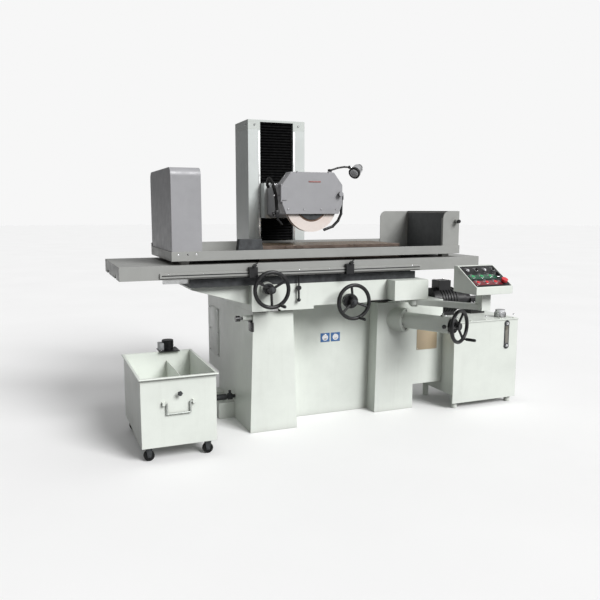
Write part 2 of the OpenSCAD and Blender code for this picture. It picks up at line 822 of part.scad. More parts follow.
module right_guard() {
    x1 = tray_x1 - sheet - slide_gap;
    y0 = tray_front + sheet + 0.5;
    y1 = tray_back - sheet - 0.5;
    color("darkgray") {
        block([x1 - sheet, y0, tray_top], [x1, y1, tray_top + right_guard_h]);
        side_wall(x1 - right_guard_front_l, x1, y0);
        side_wall(x1 - right_guard_back_l, x1, y1 - sheet);
        // inward return along the front wall's free edge
        block([x1 - right_guard_front_l, y0, tray_top],
            [x1 - right_guard_front_l + sheet, y0 + 20, tray_top + right_guard_h - guard_corner]);
        along_y([x1 - 28, y0 - 22, tray_top + right_guard_h - 68], 14, 24);
    }
}

// One wall of the right guard, with a rounded upper corner at its free edge
module side_wall(x0, x1, y) {
    top = tray_top + right_guard_h;
    extrude_y(y, y + sheet) {
        translate([x0, tray_top]) square([x1 - x0, right_guard_h - guard_corner]);
        translate([x0 + guard_corner, top - guard_corner - 1])
            square([x1 - x0 - guard_corner, guard_corner + 1]);
        translate([x0 + guard_corner, top - guard_corner]) circle(r = guard_corner);
    }
}

module magnetic_chuck() {
    color("saddlebrown") {
        block([chuck_x0, chuck_front, table_top],
            [chuck_x0 + chuck_l, chuck_front + chuck_w, chuck_top]);
        block([chuck_x0 - 5, chuck_front + 40, table_top + 50],
            [chuck_x0 + 1, chuck_front + 110, table_top + 80]);
    }
}

module table_rack() {
    color("silver") block([table_feed.x - rack_reach, pinion_y - pinion_w / 2, table_z - rack_h],
        [table_feed.x + rack_reach, pinion_y + pinion_w / 2, table_z]);
}

module wheel_dresser() {
    y0 = tray_front + sheet + 3;
    top = tray_top + dresser_h;
    color("dimgray") extrude_y(y0, y0 + dresser_d)
        polygon([[dresser_x0, tray_top], [dresser_x0 + dresser_w, tray_top],
            [dresser_x0 + dresser_w - 18, top], [dresser_x0 + 16, top]]);
}

// A trip dog clamped on the dog rail
module dog(x) {
    color("black") difference() {
        union() {
            block([x, table_front - dog_t, rail_z[0] - 12],
                [x + dog_w, table_front - slide_gap, rail_z[1] + 22]);
            translate([x + dog_w / 2, table_front - 22, rail_z[1] + 20]) cylinder(r = 6, h = 12);
            rod([x + dog_w / 2, table_front - 22, rail_z[1] + 30],
                [x + dog_w / 2 + 30, table_front - 22, rail_z[1] + 48], 4);
        }
        block([x - eps, table_front - rail_t - slide_gap, rail_z[0] - slide_gap],
            [x + dog_w + eps, table_front, rail_z[1] + slide_gap]);
    }
}

module left_dog() { dog(dog_x[0]); }
module right_dog() { dog(dog_x[1]); }

// ---------- head ----------

module spindle_hole(y0, y1) {
    along_y([0, y0 - eps, spindle_z], spindle_r + fit_gap, y1 - y0 + 2 * eps);
}

module head_carriage() {
    color("silver") difference() {
        union() {
            block([-slot_w / 2 - 1, carriage_front, carriage_z],
                [slot_w / 2 + 1, col_front - slide_gap, carriage_top]);
            block([-slot_w / 2 + slide_gap, col_front - 2, carriage_z],
                [slot_w / 2 - slide_gap, flange_back + 2, carriage_top]);
            block([-guide_half, flange_back + slide_gap, carriage_z],
                [guide_half, guide_back, carriage_top]);
        }
        spindle_hole(carriage_front, guide_back);
        translate([lift_screw.x, lift_screw.y, carriage_z - eps])
            cylinder(r = lift_screw_r + fit_gap, h = carriage_h + 2 * eps);
    }
}

module spindle_housing() {
    half = housing_w / 2;
    edge = 24;
    z1 = housing_z + housing_h;
    color("gray") difference() {
        extrude_y(housing_front, carriage_front)
            polygon([[-half, housing_z + edge], [-half + edge, housing_z], [half - edge, housing_z],
                [half, housing_z + edge], [half, z1 - edge], [half - edge, z1], [-half + edge, z1],
                [-half, z1 - edge]]);
        spindle_hole(housing_front, carriage_front);
    }
}

// Front outline of the wheel guard; inset shrinks it, drop moves its open lower edge
module guard_outline(inset = 0, drop = 0) {
    low = spindle_z - guard_drop - drop;
    top = spindle_z + guard_top - inset;
    side = guard_half - inset;
    foot = guard_half - 26 - inset;
    crown = guard_half - 61 - inset / 2;
    polygon([[-foot, low], [foot, low], [side, spindle_z], [side, top - 79 + inset / 2],
        [crown, top], [-crown, top], [-side, top - 79 + inset / 2], [-side, spindle_z]]);
}

module wheel_guard() {
    color("darkgray") {
        difference() {
            extrude_y(guard_front, guard_back) guard_outline();
            extrude_y(guard_front - eps, guard_back - guard_wall) guard_outline(guard_wall, 2);
            spindle_hole(guard_back - guard_wall, guard_back);
        }
        for (z = hinge_z) {
            block([hinge_x - knuckle_r, hinge_y - knuckle_r, z],
                [-guard_half - 1.5, guard_front + 30, z + hinge_lug]);
            block([hinge_x - knuckle_r, guard_front + 3, z],
                [-guard_half + 3, guard_front + 30, z + hinge_lug]);
        }
        translate([hinge_x, hinge_y, hinge_z[0]])
            cylinder(r = hinge_pin_r, h = hinge_z[1] - hinge_z[0] + hinge_lug);
        translate([lamp_x, wheel_y, lamp_seat_z - 7]) cylinder(r = 16, h = 7);
        translate([lamp_x, wheel_y, lamp_seat_z - 6]) cylinder(r = lamp_pin_r, h = 24);
    }
}

module guard_door() {
    color("darkgray") difference() {
        union() {
            extrude_y(door_front, guard_front - slide_gap) guard_outline(1.5);
            translate([hinge_x, hinge_y, hinge_z[0] + hinge_lug + slide_gap])
                cylinder(r = knuckle_r, h = hinge_z[1] - hinge_z[0] - hinge_lug - 2 * slide_gap);
            block([hinge_x, hinge_y - 4.5, hinge_z[0] + hinge_lug + slide_gap],
                [-guard_half + 30, door_front + 1, hinge_z[1] - slide_gap]);
            along_y([guard_half - 22, door_front - 26, spindle_z + 65], 7, 27);
            along_y([guard_half - 22, door_front - 30, spindle_z + 65], 15, 18);
        }
        translate([hinge_x, hinge_y, hinge_z[0]]) cylinder(r = hinge_pin_r + fit_gap, h = 120);
    }
}

// Coolant pipe from the guard's right side, round the wheel to its nozzle
module coolant_pipe() {
    x = guard_half + 13.3;
    color("black") {
        bent_rod([[x, wheel_y, spindle_z + 40], [x - 3, wheel_y, spindle_z - 62],
            [199, wheel_y, spindle_z - 108], [160, wheel_y, spindle_z - 145],
            [96, wheel_y, spindle_z - 167]], 9);
        rod([x, wheel_y, spindle_z + 30], [x, wheel_y, spindle_z + 62], 13);
    }
}

module spindle_motor() {
    color("gray") difference() {
        union() {
            along_y([0, guide_back, spindle_z], motor_r, motor_l);
            along_y([0, guide_back, spindle_z], motor_r + 8, 14);
        }
        spindle_hole(guide_back, guide_back + motor_shaft_l);
    }
}

module spindle_shaft() {
    nose = wheel_front - flange_plate - 4;
    color("silver") along_y([0, nose, spindle_z], spindle_r, guide_back + motor_shaft_l - nose);
}

module grinding_wheel() {
    color("mistyrose") difference() {
        along_y([0, wheel_front, spindle_z], wheel_d / 2, wheel_w);
        along_y([0, wheel_front - eps, spindle_z], wheel_bore / 2, wheel_w + 2 * eps);
    }
}

// Hub that carries the wheel between two flanges on the spindle's nose
module wheel_flange() {
    color("black") difference() {
        union() {
            along_y([0, wheel_front - flange_plate, spindle_z], flange_r, flange_plate);
            along_y([0, wheel_back, spindle_z], flange_r, flange_plate);
            along_y([0, wheel_front - flange_plate, spindle_z], wheel_bore / 2 - fit_gap,
                wheel_w + 2 * flange_plate);
        }
        along_y([0, wheel_front - flange_plate - eps, spindle_z], spindle_r,
            wheel_w + 2 * flange_plate + 2 * eps);
    }
}

module lamp_arm() {
    z = lamp_seat_z + slide_gap;
    color("black") difference() {
        union() {
            translate([lamp_x, wheel_y, z]) cylinder(r = 13, h = 16);
            bent_rod([[lamp_x, wheel_y, z + 8], [194, wheel_y, z + 26], [240, wheel_y, z + 34],
                lamp_joint], 6, 90);
            translate(lamp_joint) rotate([0, 0, 90]) sphere(r = 11);
        }
        translate([lamp_x, wheel_y, z - eps]) cylinder(r = lamp_pin_r + fit_gap, h = 30);
    }
}

// Spot lamp; its own axis points down at the wheel
module lamp_head() {
    centre = [38, -30, -22];
    color("silver") translate(lamp_joint) {
        along_y([0, -22, 0], 5, 10.7);
        rod([0, -18, 0], centre, 5);
        translate(centre) rotate([0, -118, 38]) {
            translate([0, 0, -22]) cylinder(r = 34, h = 52);
            translate([0, 0, 29]) cylinder(r = 38, h = 14);
            translate([0, 0, -52]) cylinder(r = 20, h = 31);
        }
    }
}

// ---------- pendant ----------

module pendant_arm() {
    color("whitesmoke") difference() {
        union() {
            translate([pivot.x, pivot.y, arm_z0]) {
                cylinder(r = 35, h = arm_t);
                rotate([0, 0, arm_angle]) translate([-arm_wide / 2, -arm_l, 1])
                    cube([arm_wide, arm_l, arm_t - 2]);
            }
            translate([arm_end.x - post_w / 2, arm_end.y - post_w / 2, arm_z0])
                cube([post_w, post_w, box_z - arm_z0]);
        }
        translate([pivot.x, pivot.y, arm_z0 - eps]) cylinder(r = pivot_r + fit_gap, h = arm_t + 2 * eps);
    }
}

// Places children on the sloping panel: x across, s up the slope, +Z out of the panel
module on_panel(x, s) {
    translate([box_x0 + x, box_front, box_z + box_lip])
        rotate([panel_tilt, 0, 0]) translate([0, s, 0]) children();
}

// Side profile of the control box, inset by a wall and kept deeper under the panel
module box_profile(wall = 0, depth = 0) {
    polygon([[box_front + wall, box_z + wall], [box_rear - wall, box_z + wall],
        [box_rear - wall, ridge_z - wall - depth], [ridge_y, ridge_z - wall - depth],
        [box_front + wall, box_z + box_lip - wall - depth]]);
}

module control_box() {
    color("whitesmoke") difference() {
        extrude_x(box_x0, box_x0 + box_w) box_profile();
        extrude_x(box_x0 + 4, box_x0 + box_w - 4) box_profile(4, 16);
        for (i = [0 : 2], s = [row_low, row_mid])
            on_panel(button_col[i], s) translate([0, 0, -button_seat])
                cylinder(r = button_r + slide_gap, h = button_seat + eps);
        on_panel(button_col[3], row_low) translate([0, 0, -button_seat]) cylinder(r = 10 + slide_gap, h = 20);
        on_panel(button_col[3], row_mid + 10) translate([0, 0, -button_seat]) cylinder(r = 8 + fit_gap, h = 20);
    }
}

// A push button seated in its hole
module button(x, s, tint) {
    color(tint) on_panel(x, s) translate([0, 0, 5 - button_seat]) cylinder(r = button_r, h = button_seat + 3);
}

module start_button_1() { button(button_col[0], row_mid, "green"); }
module start_button_2() { button(button_col[1], row_mid, "green"); }
module start_button_3() { button(button_col[2], row_mid, "green"); }
module halt_button_1() { button(button_col[0], row_low, "red"); }
module halt_button_2() { button(button_col[1], row_low, "red"); }
module halt_button_3() { button(button_col[2], row_low, "red"); }

module stop_button() {
    color("red") on_panel(button_col[3], row_low) {
        translate([0, 0, 7 - button_seat]) cylinder(r = 10, h = button_seat + 3);
        translate([0, 0, 9]) cylinder(r = 20, h = 14);
    }
}

module selector_knob() {
    color("dimgray") on_panel(button_col[3], row_mid + 10) {
        translate([0, 0, 2 - button_seat]) cylinder(r = 8, h = button_seat);
        translate([0, 0, slide_gap]) cylinder(r = 15, h = 8);
        translate([-4, -15, 8]) cube([8, 30, 10]);
    }
}

// ---------- coolant tank ----------

module coolant_tank() {
    color("whitesmoke") {
        difference() {
            union() {
                block([cool_x0, cool_front, caster_h], [cool_x1, cool_back, cool_top]);
                block([cool_x0 - 10, cool_front - 10, cool_top - 6],
                    [cool_x1 + 10, cool_back + 10, cool_top]);
            }
            block([cool_x0 + cool_wall, cool_front + cool_wall, caster_h + cool_wall],
                [divider_x, cool_back - cool_wall, cool_top + eps]);
            block([divider_x + cool_wall, cool_front + cool_wall, caster_h + cool_wall],
                [cool_x1 - cool_wall, cool_back - cool_wall, cool_top + eps]);
            block([divider_x - eps, cool_front + cool_wall, cool_top - 60],
                [divider_x + cool_wall + eps, cool_back - cool_wall, cool_top + eps]);
        }
        for (x = bail_x) difference() {
            block([x - 12, cool_front - 20, bail[1] - 10], [x + 4, cool_front + 1, bail[1] + 10]);
            along_x([x - 13, bail[0], bail[1]], bail_r + fit_gap, 20);
        }
    }
}

// Pump on a plate over the tank's rear rim, with its barrel down the outside of the rear wall
module coolant_pump() {
    barrel = [cool_x0 + 290, cool_back + 44];
    color("dimgray") {
        block([barrel.x - 65, cool_back - 30, cool_top], [barrel.x + 65, barrel.y + 50, cool_top + 5]);
        translate([barrel.x, barrel.y, caster_h + 40]) cylinder(r = 24, h = cool_h - 38);
        translate([barrel.x, barrel.y, cool_top + 4]) cylinder(r = 36, h = 64);
        block([barrel.x - 60, barrel.y - 30, cool_top + 4], [barrel.x - 30, barrel.y + 30, cool_top + 50]);
        along_y([barrel.x, cool_back + slide_gap, caster_h + 90], 14, 30);
    }
}

module caster_forks() {
    color("dimgray") for (x = caster_x, y = caster_y) {
        block([x - 30, y - 30, caster_h - 6], [x + 30, y + 30, caster_h]);
        for (side = [-1, 1])
            extrude_y(y + side * 15 - 2, y + side * 15 + 2)
                polygon([[x - 20, caster_h - 5], [x + 20, caster_h - 5], [x + 9, caster_d / 2 - 9],
                    [x - 9, caster_d / 2 - 9]]);
        along_y([x, y - 20, caster_d / 2], caster_axle_r, 40);
    }
}

module caster_wheel(x, y) {
    color("black") difference() {
        along_y([x, y - 11, caster_d / 2], caster_d / 2, 22);
        along_y([x, y - 12, caster_d / 2], caster_axle_r + fit_gap, 24);
    }
}

module caster_wheel_1() { caster_wheel(caster_x[0], caster_y[0]); }
module caster_wheel_2() { caster_wheel(caster_x[1], caster_y[0]); }
module caster_wheel_3() { caster_wheel(caster_x[0], caster_y[1]); }
module caster_wheel_4() { caster_wheel(caster_x[1], caster_y[1]); }

// Drop handle that hangs from two ears on the tank's front
module tank_handle() {
    low = bail[1] - bail_drop;
    x0 = bail_x[0] - 11;
    x1 = bail_x[1] + 3;
    color("silver") bent_rod([[x0, bail[0], bail[1]], [bail_x[0] + 14, bail[0], bail[1]],
        [bail_x[0] + 14, bail[0], low], [bail_x[1] - 24, bail[0], low],
        [bail_x[1] - 24, bail[0], bail[1]], [x1, bail[0], bail[1]]], bail_r);
}

base_casting();
cross_ways();
column_casting();
column_cap();
upper_bellows();
lower_bellows();
elevating_tube();
drain_valve();
hydraulic_tank();
tank_lid();
hydraulic_pump();
lube_knob();
filler_cap();
elevating_handwheel();
elevating_screw();
saddle_casting();
table_ways();
conduit();
reversing_lever();
table_handwheel();
cross_handwheel();
cross_screw();
table();
splash_tray();
left_guard();
right_guard();
magnetic_chuck();
table_rack();
wheel_dresser();
left_dog();
right_dog();
head_carriage();
spindle_housing();
wheel_guard();
coolant_pipe();
spindle_motor();
spindle_shaft();
grinding_wheel();
wheel_flange();
guard_door();
lamp_arm();
lamp_head();
pendant_arm();
control_box();
stop_button();
start_button_1();
start_button_2();
start_button_3();
halt_button_1();
halt_button_2();
halt_button_3();
selector_knob();
coolant_tank();
coolant_pump();
caster_forks();
caster_wheel_1();
caster_wheel_2();
caster_wheel_3();
caster_wheel_4();
tank_handle();
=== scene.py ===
"""Looks of a hydraulic surface grinder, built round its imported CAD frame."""
import json
import math

import bmesh
import bpy
from mathutils import Matrix, Vector


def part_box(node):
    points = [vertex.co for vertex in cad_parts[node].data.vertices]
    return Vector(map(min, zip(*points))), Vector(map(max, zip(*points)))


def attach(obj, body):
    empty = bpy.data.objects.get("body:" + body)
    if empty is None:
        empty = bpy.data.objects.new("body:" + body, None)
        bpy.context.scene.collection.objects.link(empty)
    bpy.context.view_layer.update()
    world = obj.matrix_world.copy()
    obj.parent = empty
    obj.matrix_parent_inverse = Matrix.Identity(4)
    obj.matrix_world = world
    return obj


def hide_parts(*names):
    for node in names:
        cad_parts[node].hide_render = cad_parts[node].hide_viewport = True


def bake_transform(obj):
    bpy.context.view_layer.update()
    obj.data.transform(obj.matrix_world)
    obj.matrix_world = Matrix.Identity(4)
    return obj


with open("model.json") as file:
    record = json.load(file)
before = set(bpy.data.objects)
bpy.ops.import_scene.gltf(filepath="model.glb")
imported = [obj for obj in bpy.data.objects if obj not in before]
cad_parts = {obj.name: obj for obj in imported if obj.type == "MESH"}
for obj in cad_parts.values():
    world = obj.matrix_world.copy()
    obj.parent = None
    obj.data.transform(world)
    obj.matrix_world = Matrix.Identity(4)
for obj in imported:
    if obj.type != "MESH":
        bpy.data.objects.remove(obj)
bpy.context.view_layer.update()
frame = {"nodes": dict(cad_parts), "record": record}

X, Y, Z = Vector((1, 0, 0)), Vector((0, 1, 0)), Vector((0, 0, 1))


def mm(x, y, z):
    """A point given in millimetres, as a vector in metres."""
    return Vector((x, y, z)) / 1000


# ---------- camera ----------

EYE = mm(-1692.5, -4384.1, 1400)
LOOK_DOWN, LOOK_RIGHT = 7.8, 22.1  # degrees
FOCAL_MM = 39.55


def make_camera():
    """A view at eye height, from the machine's front left."""
    lens = bpy.data.cameras.new("camera")
    lens.lens = FOCAL_MM
    lens.sensor_width = 36
    lens.clip_end = 200
    camera = bpy.data.objects.new("camera", lens)
    bpy.context.collection.objects.link(camera)
    camera.location = EYE
    camera.rotation_euler = (math.radians(90 - LOOK_DOWN), 0, math.radians(-LOOK_RIGHT))
    bpy.context.scene.camera = camera


make_camera()


# ---------- material nodes ----------

def srgb(red, green, blue):
    """An 8-bit display colour as linear light."""
    def linear(value):
        value /= 255
        return value / 12.92 if value <= 0.04045 else ((value + 0.055) / 1.055) ** 2.4
    return linear(red), linear(green), linear(blue)


def shade(colour, factor):
    """A colour made lighter or darker."""
    return tuple(min(1, channel * factor) for channel in colour)


class Finish:
    """A Principled material, with short ways to add the nodes that give it detail."""

    def __init__(self, name, colour, rough, metal=0.0):
        self.material = bpy.data.materials.new(name)
        self.material.use_nodes = True
        self.tree = self.material.node_tree
        self.surface = self.tree.nodes["Principled BSDF"]
        self.surface.inputs["Base Color"].default_value = (*colour, 1)
        self.surface.inputs["Roughness"].default_value = rough
        self.surface.inputs["Metallic"].default_value = metal
        self.place = self.tree.nodes.new("ShaderNodeTexCoord").outputs["Object"]
        self.normal = None

    def link(self, output, target):
        self.tree.links.new(output, target)

    def stretched(self, stretch):
        """Object coordinates, scaled along each axis."""
        mapping = self.tree.nodes.new("ShaderNodeMapping")
        mapping.inputs["Scale"].default_value = stretch
        self.link(self.place, mapping.inputs["Vector"])
        return mapping.outputs["Vector"]

    def noise(self, scale, detail=3.0, rough=0.5, stretch=None):
        made = self.tree.nodes.new("ShaderNodeTexNoise")
        made.inputs["Scale"].default_value = scale
        made.inputs["Detail"].default_value = detail
        made.inputs["Roughness"].default_value = rough
        self.link(self.stretched(stretch) if stretch else self.place, made.inputs["Vector"])
        return made.outputs["Fac"]

    def cells(self, scale):
        made = self.tree.nodes.new("ShaderNodeTexVoronoi")
        made.inputs["Scale"].default_value = scale
        self.link(self.place, made.inputs["Vector"])
        return made.outputs["Distance"]

    def ramp(self, value, start, end, low=0.0, high=1.0):
        made = self.tree.nodes.new("ShaderNodeMapRange")
        limits = {"From Min": start, "From Max": end, "To Min": low, "To Max": high}
        for name, number in limits.items():
            made.inputs[name].default_value = number
        self.link(value, made.inputs["Value"])
        return made.outputs["Result"]

    def times(self, first, second):
        made = self.tree.nodes.new("ShaderNodeMath")
        made.operation = "MULTIPLY"
        for value, target in zip((first, second), made.inputs):
            if isinstance(value, (int, float)):
                target.default_value = value
            else:
                self.link(value, target)
        return made.outputs["Value"]

    def mix(self, amount, first, second):
        """One colour over another, by a mask."""
        made = self.tree.nodes.new("ShaderNodeMix")
        made.data_type = "RGBA"
        self.link(amount, made.inputs["Factor"])
        for value, target in ((first, made.inputs[6]), (second, made.inputs[7])):
            if isinstance(value, tuple):
                target.default_value = (*value, 1)
            else:
                self.link(value, target)
        return made.outputs[2]

    def edges(self, radius, start=0.02, end=0.22):
        """A mask that is 1 along sharp edges."""
        bevel = self.tree.nodes.new("ShaderNodeBevel")
        bevel.samples = 4
        bevel.inputs["Radius"].default_value = radius
        geometry = self.tree.nodes.new("ShaderNodeNewGeometry")
        product = self.tree.nodes.new("ShaderNodeVectorMath")
        product.operation = "DOT_PRODUCT"
        self.link(bevel.outputs["Normal"], product.inputs[0])
        self.link(geometry.outputs["Normal"], product.inputs[1])
        return self.ramp(product.outputs["Value"], 1 - start, 1 - end)

    def corners(self, reach):
        """A mask from ambient occlusion, 1 in corners and crevices, used to paint shade there."""
        hidden = self.tree.nodes.new("ShaderNodeAmbientOcclusion")
        hidden.samples = 4
        hidden.inputs["Distance"].default_value = reach
        return self.ramp(hidden.outputs["AO"], 0.85, 0.3)

    def soften(self, radius):
        """Rounds sharp edges in the shading."""
        bevel = self.tree.nodes.new("ShaderNodeBevel")
        bevel.samples = 4
        bevel.inputs["Radius"].default_value = radius
        self.normal = bevel.outputs["Normal"]
        self.link(self.normal, self.surface.inputs["Normal"])

    def bump(self, height, strength, depth):
        made = self.tree.nodes.new("ShaderNodeBump")
        made.inputs["Strength"].default_value = strength
        made.inputs["Distance"].default_value = depth
        self.link(height, made.inputs["Height"])
        if self.normal is not None:
            self.link(self.normal, made.inputs["Normal"])
        self.normal = made.outputs["Normal"]
        self.link(self.normal, self.surface.inputs["Normal"])

    def colour(self, output):
        self.link(output, self.surface.inputs["Base Color"])

    def rough(self, output):
        self.link(output, self.surface.inputs["Roughness"])

    def set(self, **values):
        for name, value in values.items():
            self.surface.inputs[name.replace("_", " ")].default_value = value


# ---------- materials ----------

def enamel(name, colour, rough=0.36):
    """Sprayed machine enamel: orange peel, faded patches, painted shade in corners, thin worn
    edges.
    """
    # A dark colour, for real dirt drips and also for painted shade in corners.
    grime_and_shade = (0.19, 0.17, 0.14)
    made = Finish(name, colour, rough)
    made.soften(0.0025)
    patches = made.ramp(made.noise(3.2, 4, 0.6), 0.35, 0.7)
    tone = made.mix(patches, shade(colour, 1.03), shade(colour, 0.93))
    dust = made.times(made.ramp(made.noise(260, 2), 0.6, 0.78), 0.16)
    tone = made.mix(dust, tone, shade(colour, 0.78))
    drips = made.times(made.ramp(made.noise(5, 3, 0.6, (5, 5, 0.4)), 0.55, 0.85), 0.07)
    tone = made.mix(drips, tone, grime_and_shade)
    # Painted shade: ambient occlusion darkens corners and crevices to the same dark colour.
    tone = made.mix(made.times(made.corners(0.05), 0.36), tone, grime_and_shade)
    chips = made.times(made.edges(0.0022), made.ramp(made.noise(70, 3), 0.52, 0.62))
    tone = made.mix(made.times(chips, 0.7), tone, shade(colour, 0.45))
    made.colour(tone)
    made.rough(made.ramp(made.noise(14, 4, 0.65), 0.3, 0.75, rough - 0.07, rough + 0.16))
    made.bump(made.noise(9, 2), 0.25, 0.004)
    made.bump(made.noise(620, 2), 0.12, 0.0006)
    made.set(Coat_Weight=0.25, Coat_Roughness=0.18)
    return made.material


def ground_steel(name, colour, rough, along):
    """Ground or brushed steel, with fine lines along one axis, oil stains and painted shade in
    corners.
    """
    # A dark colour, for real oil stains and also for painted shade in corners.
    grime_and_shade = (0.09, 0.07, 0.05)
    made = Finish(name, colour, rough, 1.0)
    made.soften(0.001)
    across = tuple(0.02 if axis == along else 1.0 for axis in "XYZ")
    lines = made.noise(900, 3, 0.7, across)
    tone = made.mix(made.ramp(lines, 0.3, 0.7), shade(colour, 0.82), shade(colour, 1.08))
    stains = made.times(made.ramp(made.noise(16, 5, 0.65), 0.52, 0.72), 0.35)
    tone = made.mix(stains, tone, grime_and_shade)
    # Painted shade: ambient occlusion darkens corners and crevices to the stain colour.
    tone = made.mix(made.times(made.corners(0.02), 0.6), tone, grime_and_shade)
    made.colour(tone)
    made.rough(made.ramp(made.noise(40, 4, 0.6), 0.3, 0.7, rough - 0.06, rough + 0.14))
    made.bump(lines, 0.2, 0.0004)
    return made.material


def cast_iron(name, colour, rough=0.62):
    """Dark cast iron, oiled, with a sandy skin."""
    made = Finish(name, colour, rough, 0.55)
    made.soften(0.0015)
    tone = made.mix(made.ramp(made.noise(24, 4), 0.35, 0.7), colour, shade(colour, 0.6))
    tone = made.mix(made.times(made.edges(0.0015), 0.5), tone, shade(colour, 2.6))
    made.colour(tone)
    made.rough(made.ramp(made.noise(60, 3), 0.3, 0.7, rough - 0.12, rough + 0.12))
    made.bump(made.noise(480, 4, 0.7), 0.35, 0.0008)
    return made.material


def glossy_black(name, colour, rough=0.34, coat=0.12):
    """Black enamel or phenolic plastic, with a little dust and rubbed edges."""
    made = Finish(name, colour, rough)
    made.soften(0.0015)
    dust = made.times(made.ramp(made.noise(180, 3), 0.58, 0.78), 0.07)
    tone = made.mix(dust, colour, (0.12, 0.115, 0.11))
    tone = made.mix(made.times(made.edges(0.0012), 0.16), tone, (0.14, 0.14, 0.14))
    made.colour(tone)
    made.rough(made.ramp(made.noise(30, 4), 0.3, 0.7, rough - 0.08, rough + 0.2))
    made.bump(made.noise(500, 2), 0.1, 0.0004)
    made.set(Coat_Weight=coat, Coat_Roughness=0.12, Specular_IOR_Level=0.35)
    return made.material


def rubber(name, colour, rough=0.7):
    """Rubber or coated cloth, chalky where it is handled."""
    made = Finish(name, colour, rough)
    bloom = made.times(made.ramp(made.noise(45, 4, 0.6), 0.45, 0.75), 0.16)
    tone = made.mix(bloom, colour, (0.06, 0.06, 0.057))
    made.colour(made.mix(made.times(made.edges(0.001), 0.14), tone, (0.08, 0.08, 0.08)))
    made.set(Specular_IOR_Level=0.12)
    made.rough(made.ramp(made.noise(90, 3), 0.3, 0.7, rough - 0.12, rough + 0.12))
    made.bump(made.noise(1500, 3, 0.7), 0.3, 0.0004)
    return made.material


def sheet_metal(name, colour, rough=0.42):
    """Grey hammered enamel on thin sheet, as on the splash guards, with painted shade in corners.
    """
    made = Finish(name, colour, rough, 0.1)
    made.soften(0.003)
    patches = made.ramp(made.noise(2.4, 4, 0.6), 0.35, 0.7)
    tone = made.mix(patches, shade(colour, 1.05), shade(colour, 0.9))
    dimples = made.times(made.ramp(made.cells(230), 0.1, 0.5), 0.25)
    tone = made.mix(dimples, tone, shade(colour, 0.82))
    splash = made.times(made.ramp(made.noise(26, 5, 0.7, (1, 1, 0.35)), 0.6, 0.78), 0.18)
    tone = made.mix(splash, tone, (0.22, 0.20, 0.17))
    # Painted shade: ambient occlusion darkens corners and crevices.
    tone = made.mix(made.times(made.corners(0.04), 0.4), tone, (0.13, 0.12, 0.11))
    chips = made.times(made.edges(0.0018), made.ramp(made.noise(90, 3), 0.5, 0.6))
    made.colour(made.mix(made.times(chips, 0.7), tone, (0.5, 0.49, 0.47)))
    made.rough(made.ramp(made.noise(20, 4), 0.3, 0.7, rough - 0.08, rough + 0.15))
    made.bump(made.cells(420), 0.18, 0.0006)
    made.bump(made.noise(5, 2), 0.3, 0.004)
    return made.material


def grit(name, colour):
    """Bonded abrasive: coarse bright grains with dark pores, and a burnish from the work."""
    made = Finish(name, colour, 0.85)
    grain = made.cells(900)
    tone = made.mix(made.ramp(grain, 0.15, 0.6), shade(colour, 1.05), shade(colour, 0.8))
    tone = made.mix(made.ramp(made.noise(420, 4, 0.7), 0.56, 0.7), tone, shade(colour, 0.66))
    loaded = made.times(made.ramp(made.noise(10, 3), 0.5, 0.75), 0.3)
    made.colour(made.mix(loaded, tone, (0.72, 0.50, 0.42)))
    made.bump(grain, 0.7, 0.0012)
    return made.material


def chuck_face(name):
    """The magnetic chuck's steel, ground along the table and stained by coolant, with painted shade
    in its corners.
    """
    steel = (0.20, 0.155, 0.13)
    made = Finish(name, steel, 0.34, 0.85)
    made.soften(0.001)
    lines = made.noise(700, 3, 0.7, (0.03, 1, 1))
    tone = made.mix(made.ramp(lines, 0.3, 0.7), shade(steel, 0.8), shade(steel, 1.2))
    stains = made.times(made.ramp(made.noise(12, 5, 0.65), 0.48, 0.72), 0.45)
    tone = made.mix(stains, tone, (0.08, 0.05, 0.035))
    # Painted shade: ambient occlusion darkens corners and crevices nearly to black.
    made.colour(made.mix(made.times(made.corners(0.02), 0.5), tone, (0.04, 0.03, 0.025)))
    made.rough(made.ramp(made.noise(30, 4), 0.3, 0.7, 0.26, 0.5))
    made.bump(lines, 0.25, 0.0004)
    return made.material


def moulded(name, colour, rough=0.3, painted_glow=0.0):
    """A coloured button or lens with small scratches, and an optional painted glow from its
    emission.
    """
    made = Finish(name, colour, rough)
    mottle = made.ramp(made.noise(120, 3), 0.4, 0.7)
    made.colour(made.mix(mottle, shade(colour, 1.1), shade(colour, 0.8)))
    made.rough(made.ramp(made.noise(300, 3), 0.3, 0.7, rough - 0.1, rough + 0.15))
    made.bump(made.noise(800, 2), 0.1, 0.0003)
    made.set(Coat_Weight=0.5, Coat_Roughness=0.08)
    # Painted glow: the emission makes the part shine, though it is no lamp.
    made.set(Emission_Color=(*colour, 1), Emission_Strength=painted_glow)
    return made.material


def clear_glass(name, tint):
    """The oil level window, the lamp's lens and the pilot lamps."""
    made = Finish(name, tint, 0.08)
    made.colour(made.mix(made.ramp(made.noise(30, 3), 0.4, 0.7), tint, shade(tint, 0.75)))
    made.rough(made.ramp(made.noise(60, 4), 0.4, 0.7, 0.04, 0.2))
    made.set(Coat_Weight=1.0, Coat_Roughness=0.03, Specular_IOR_Level=0.8)
    return made.material


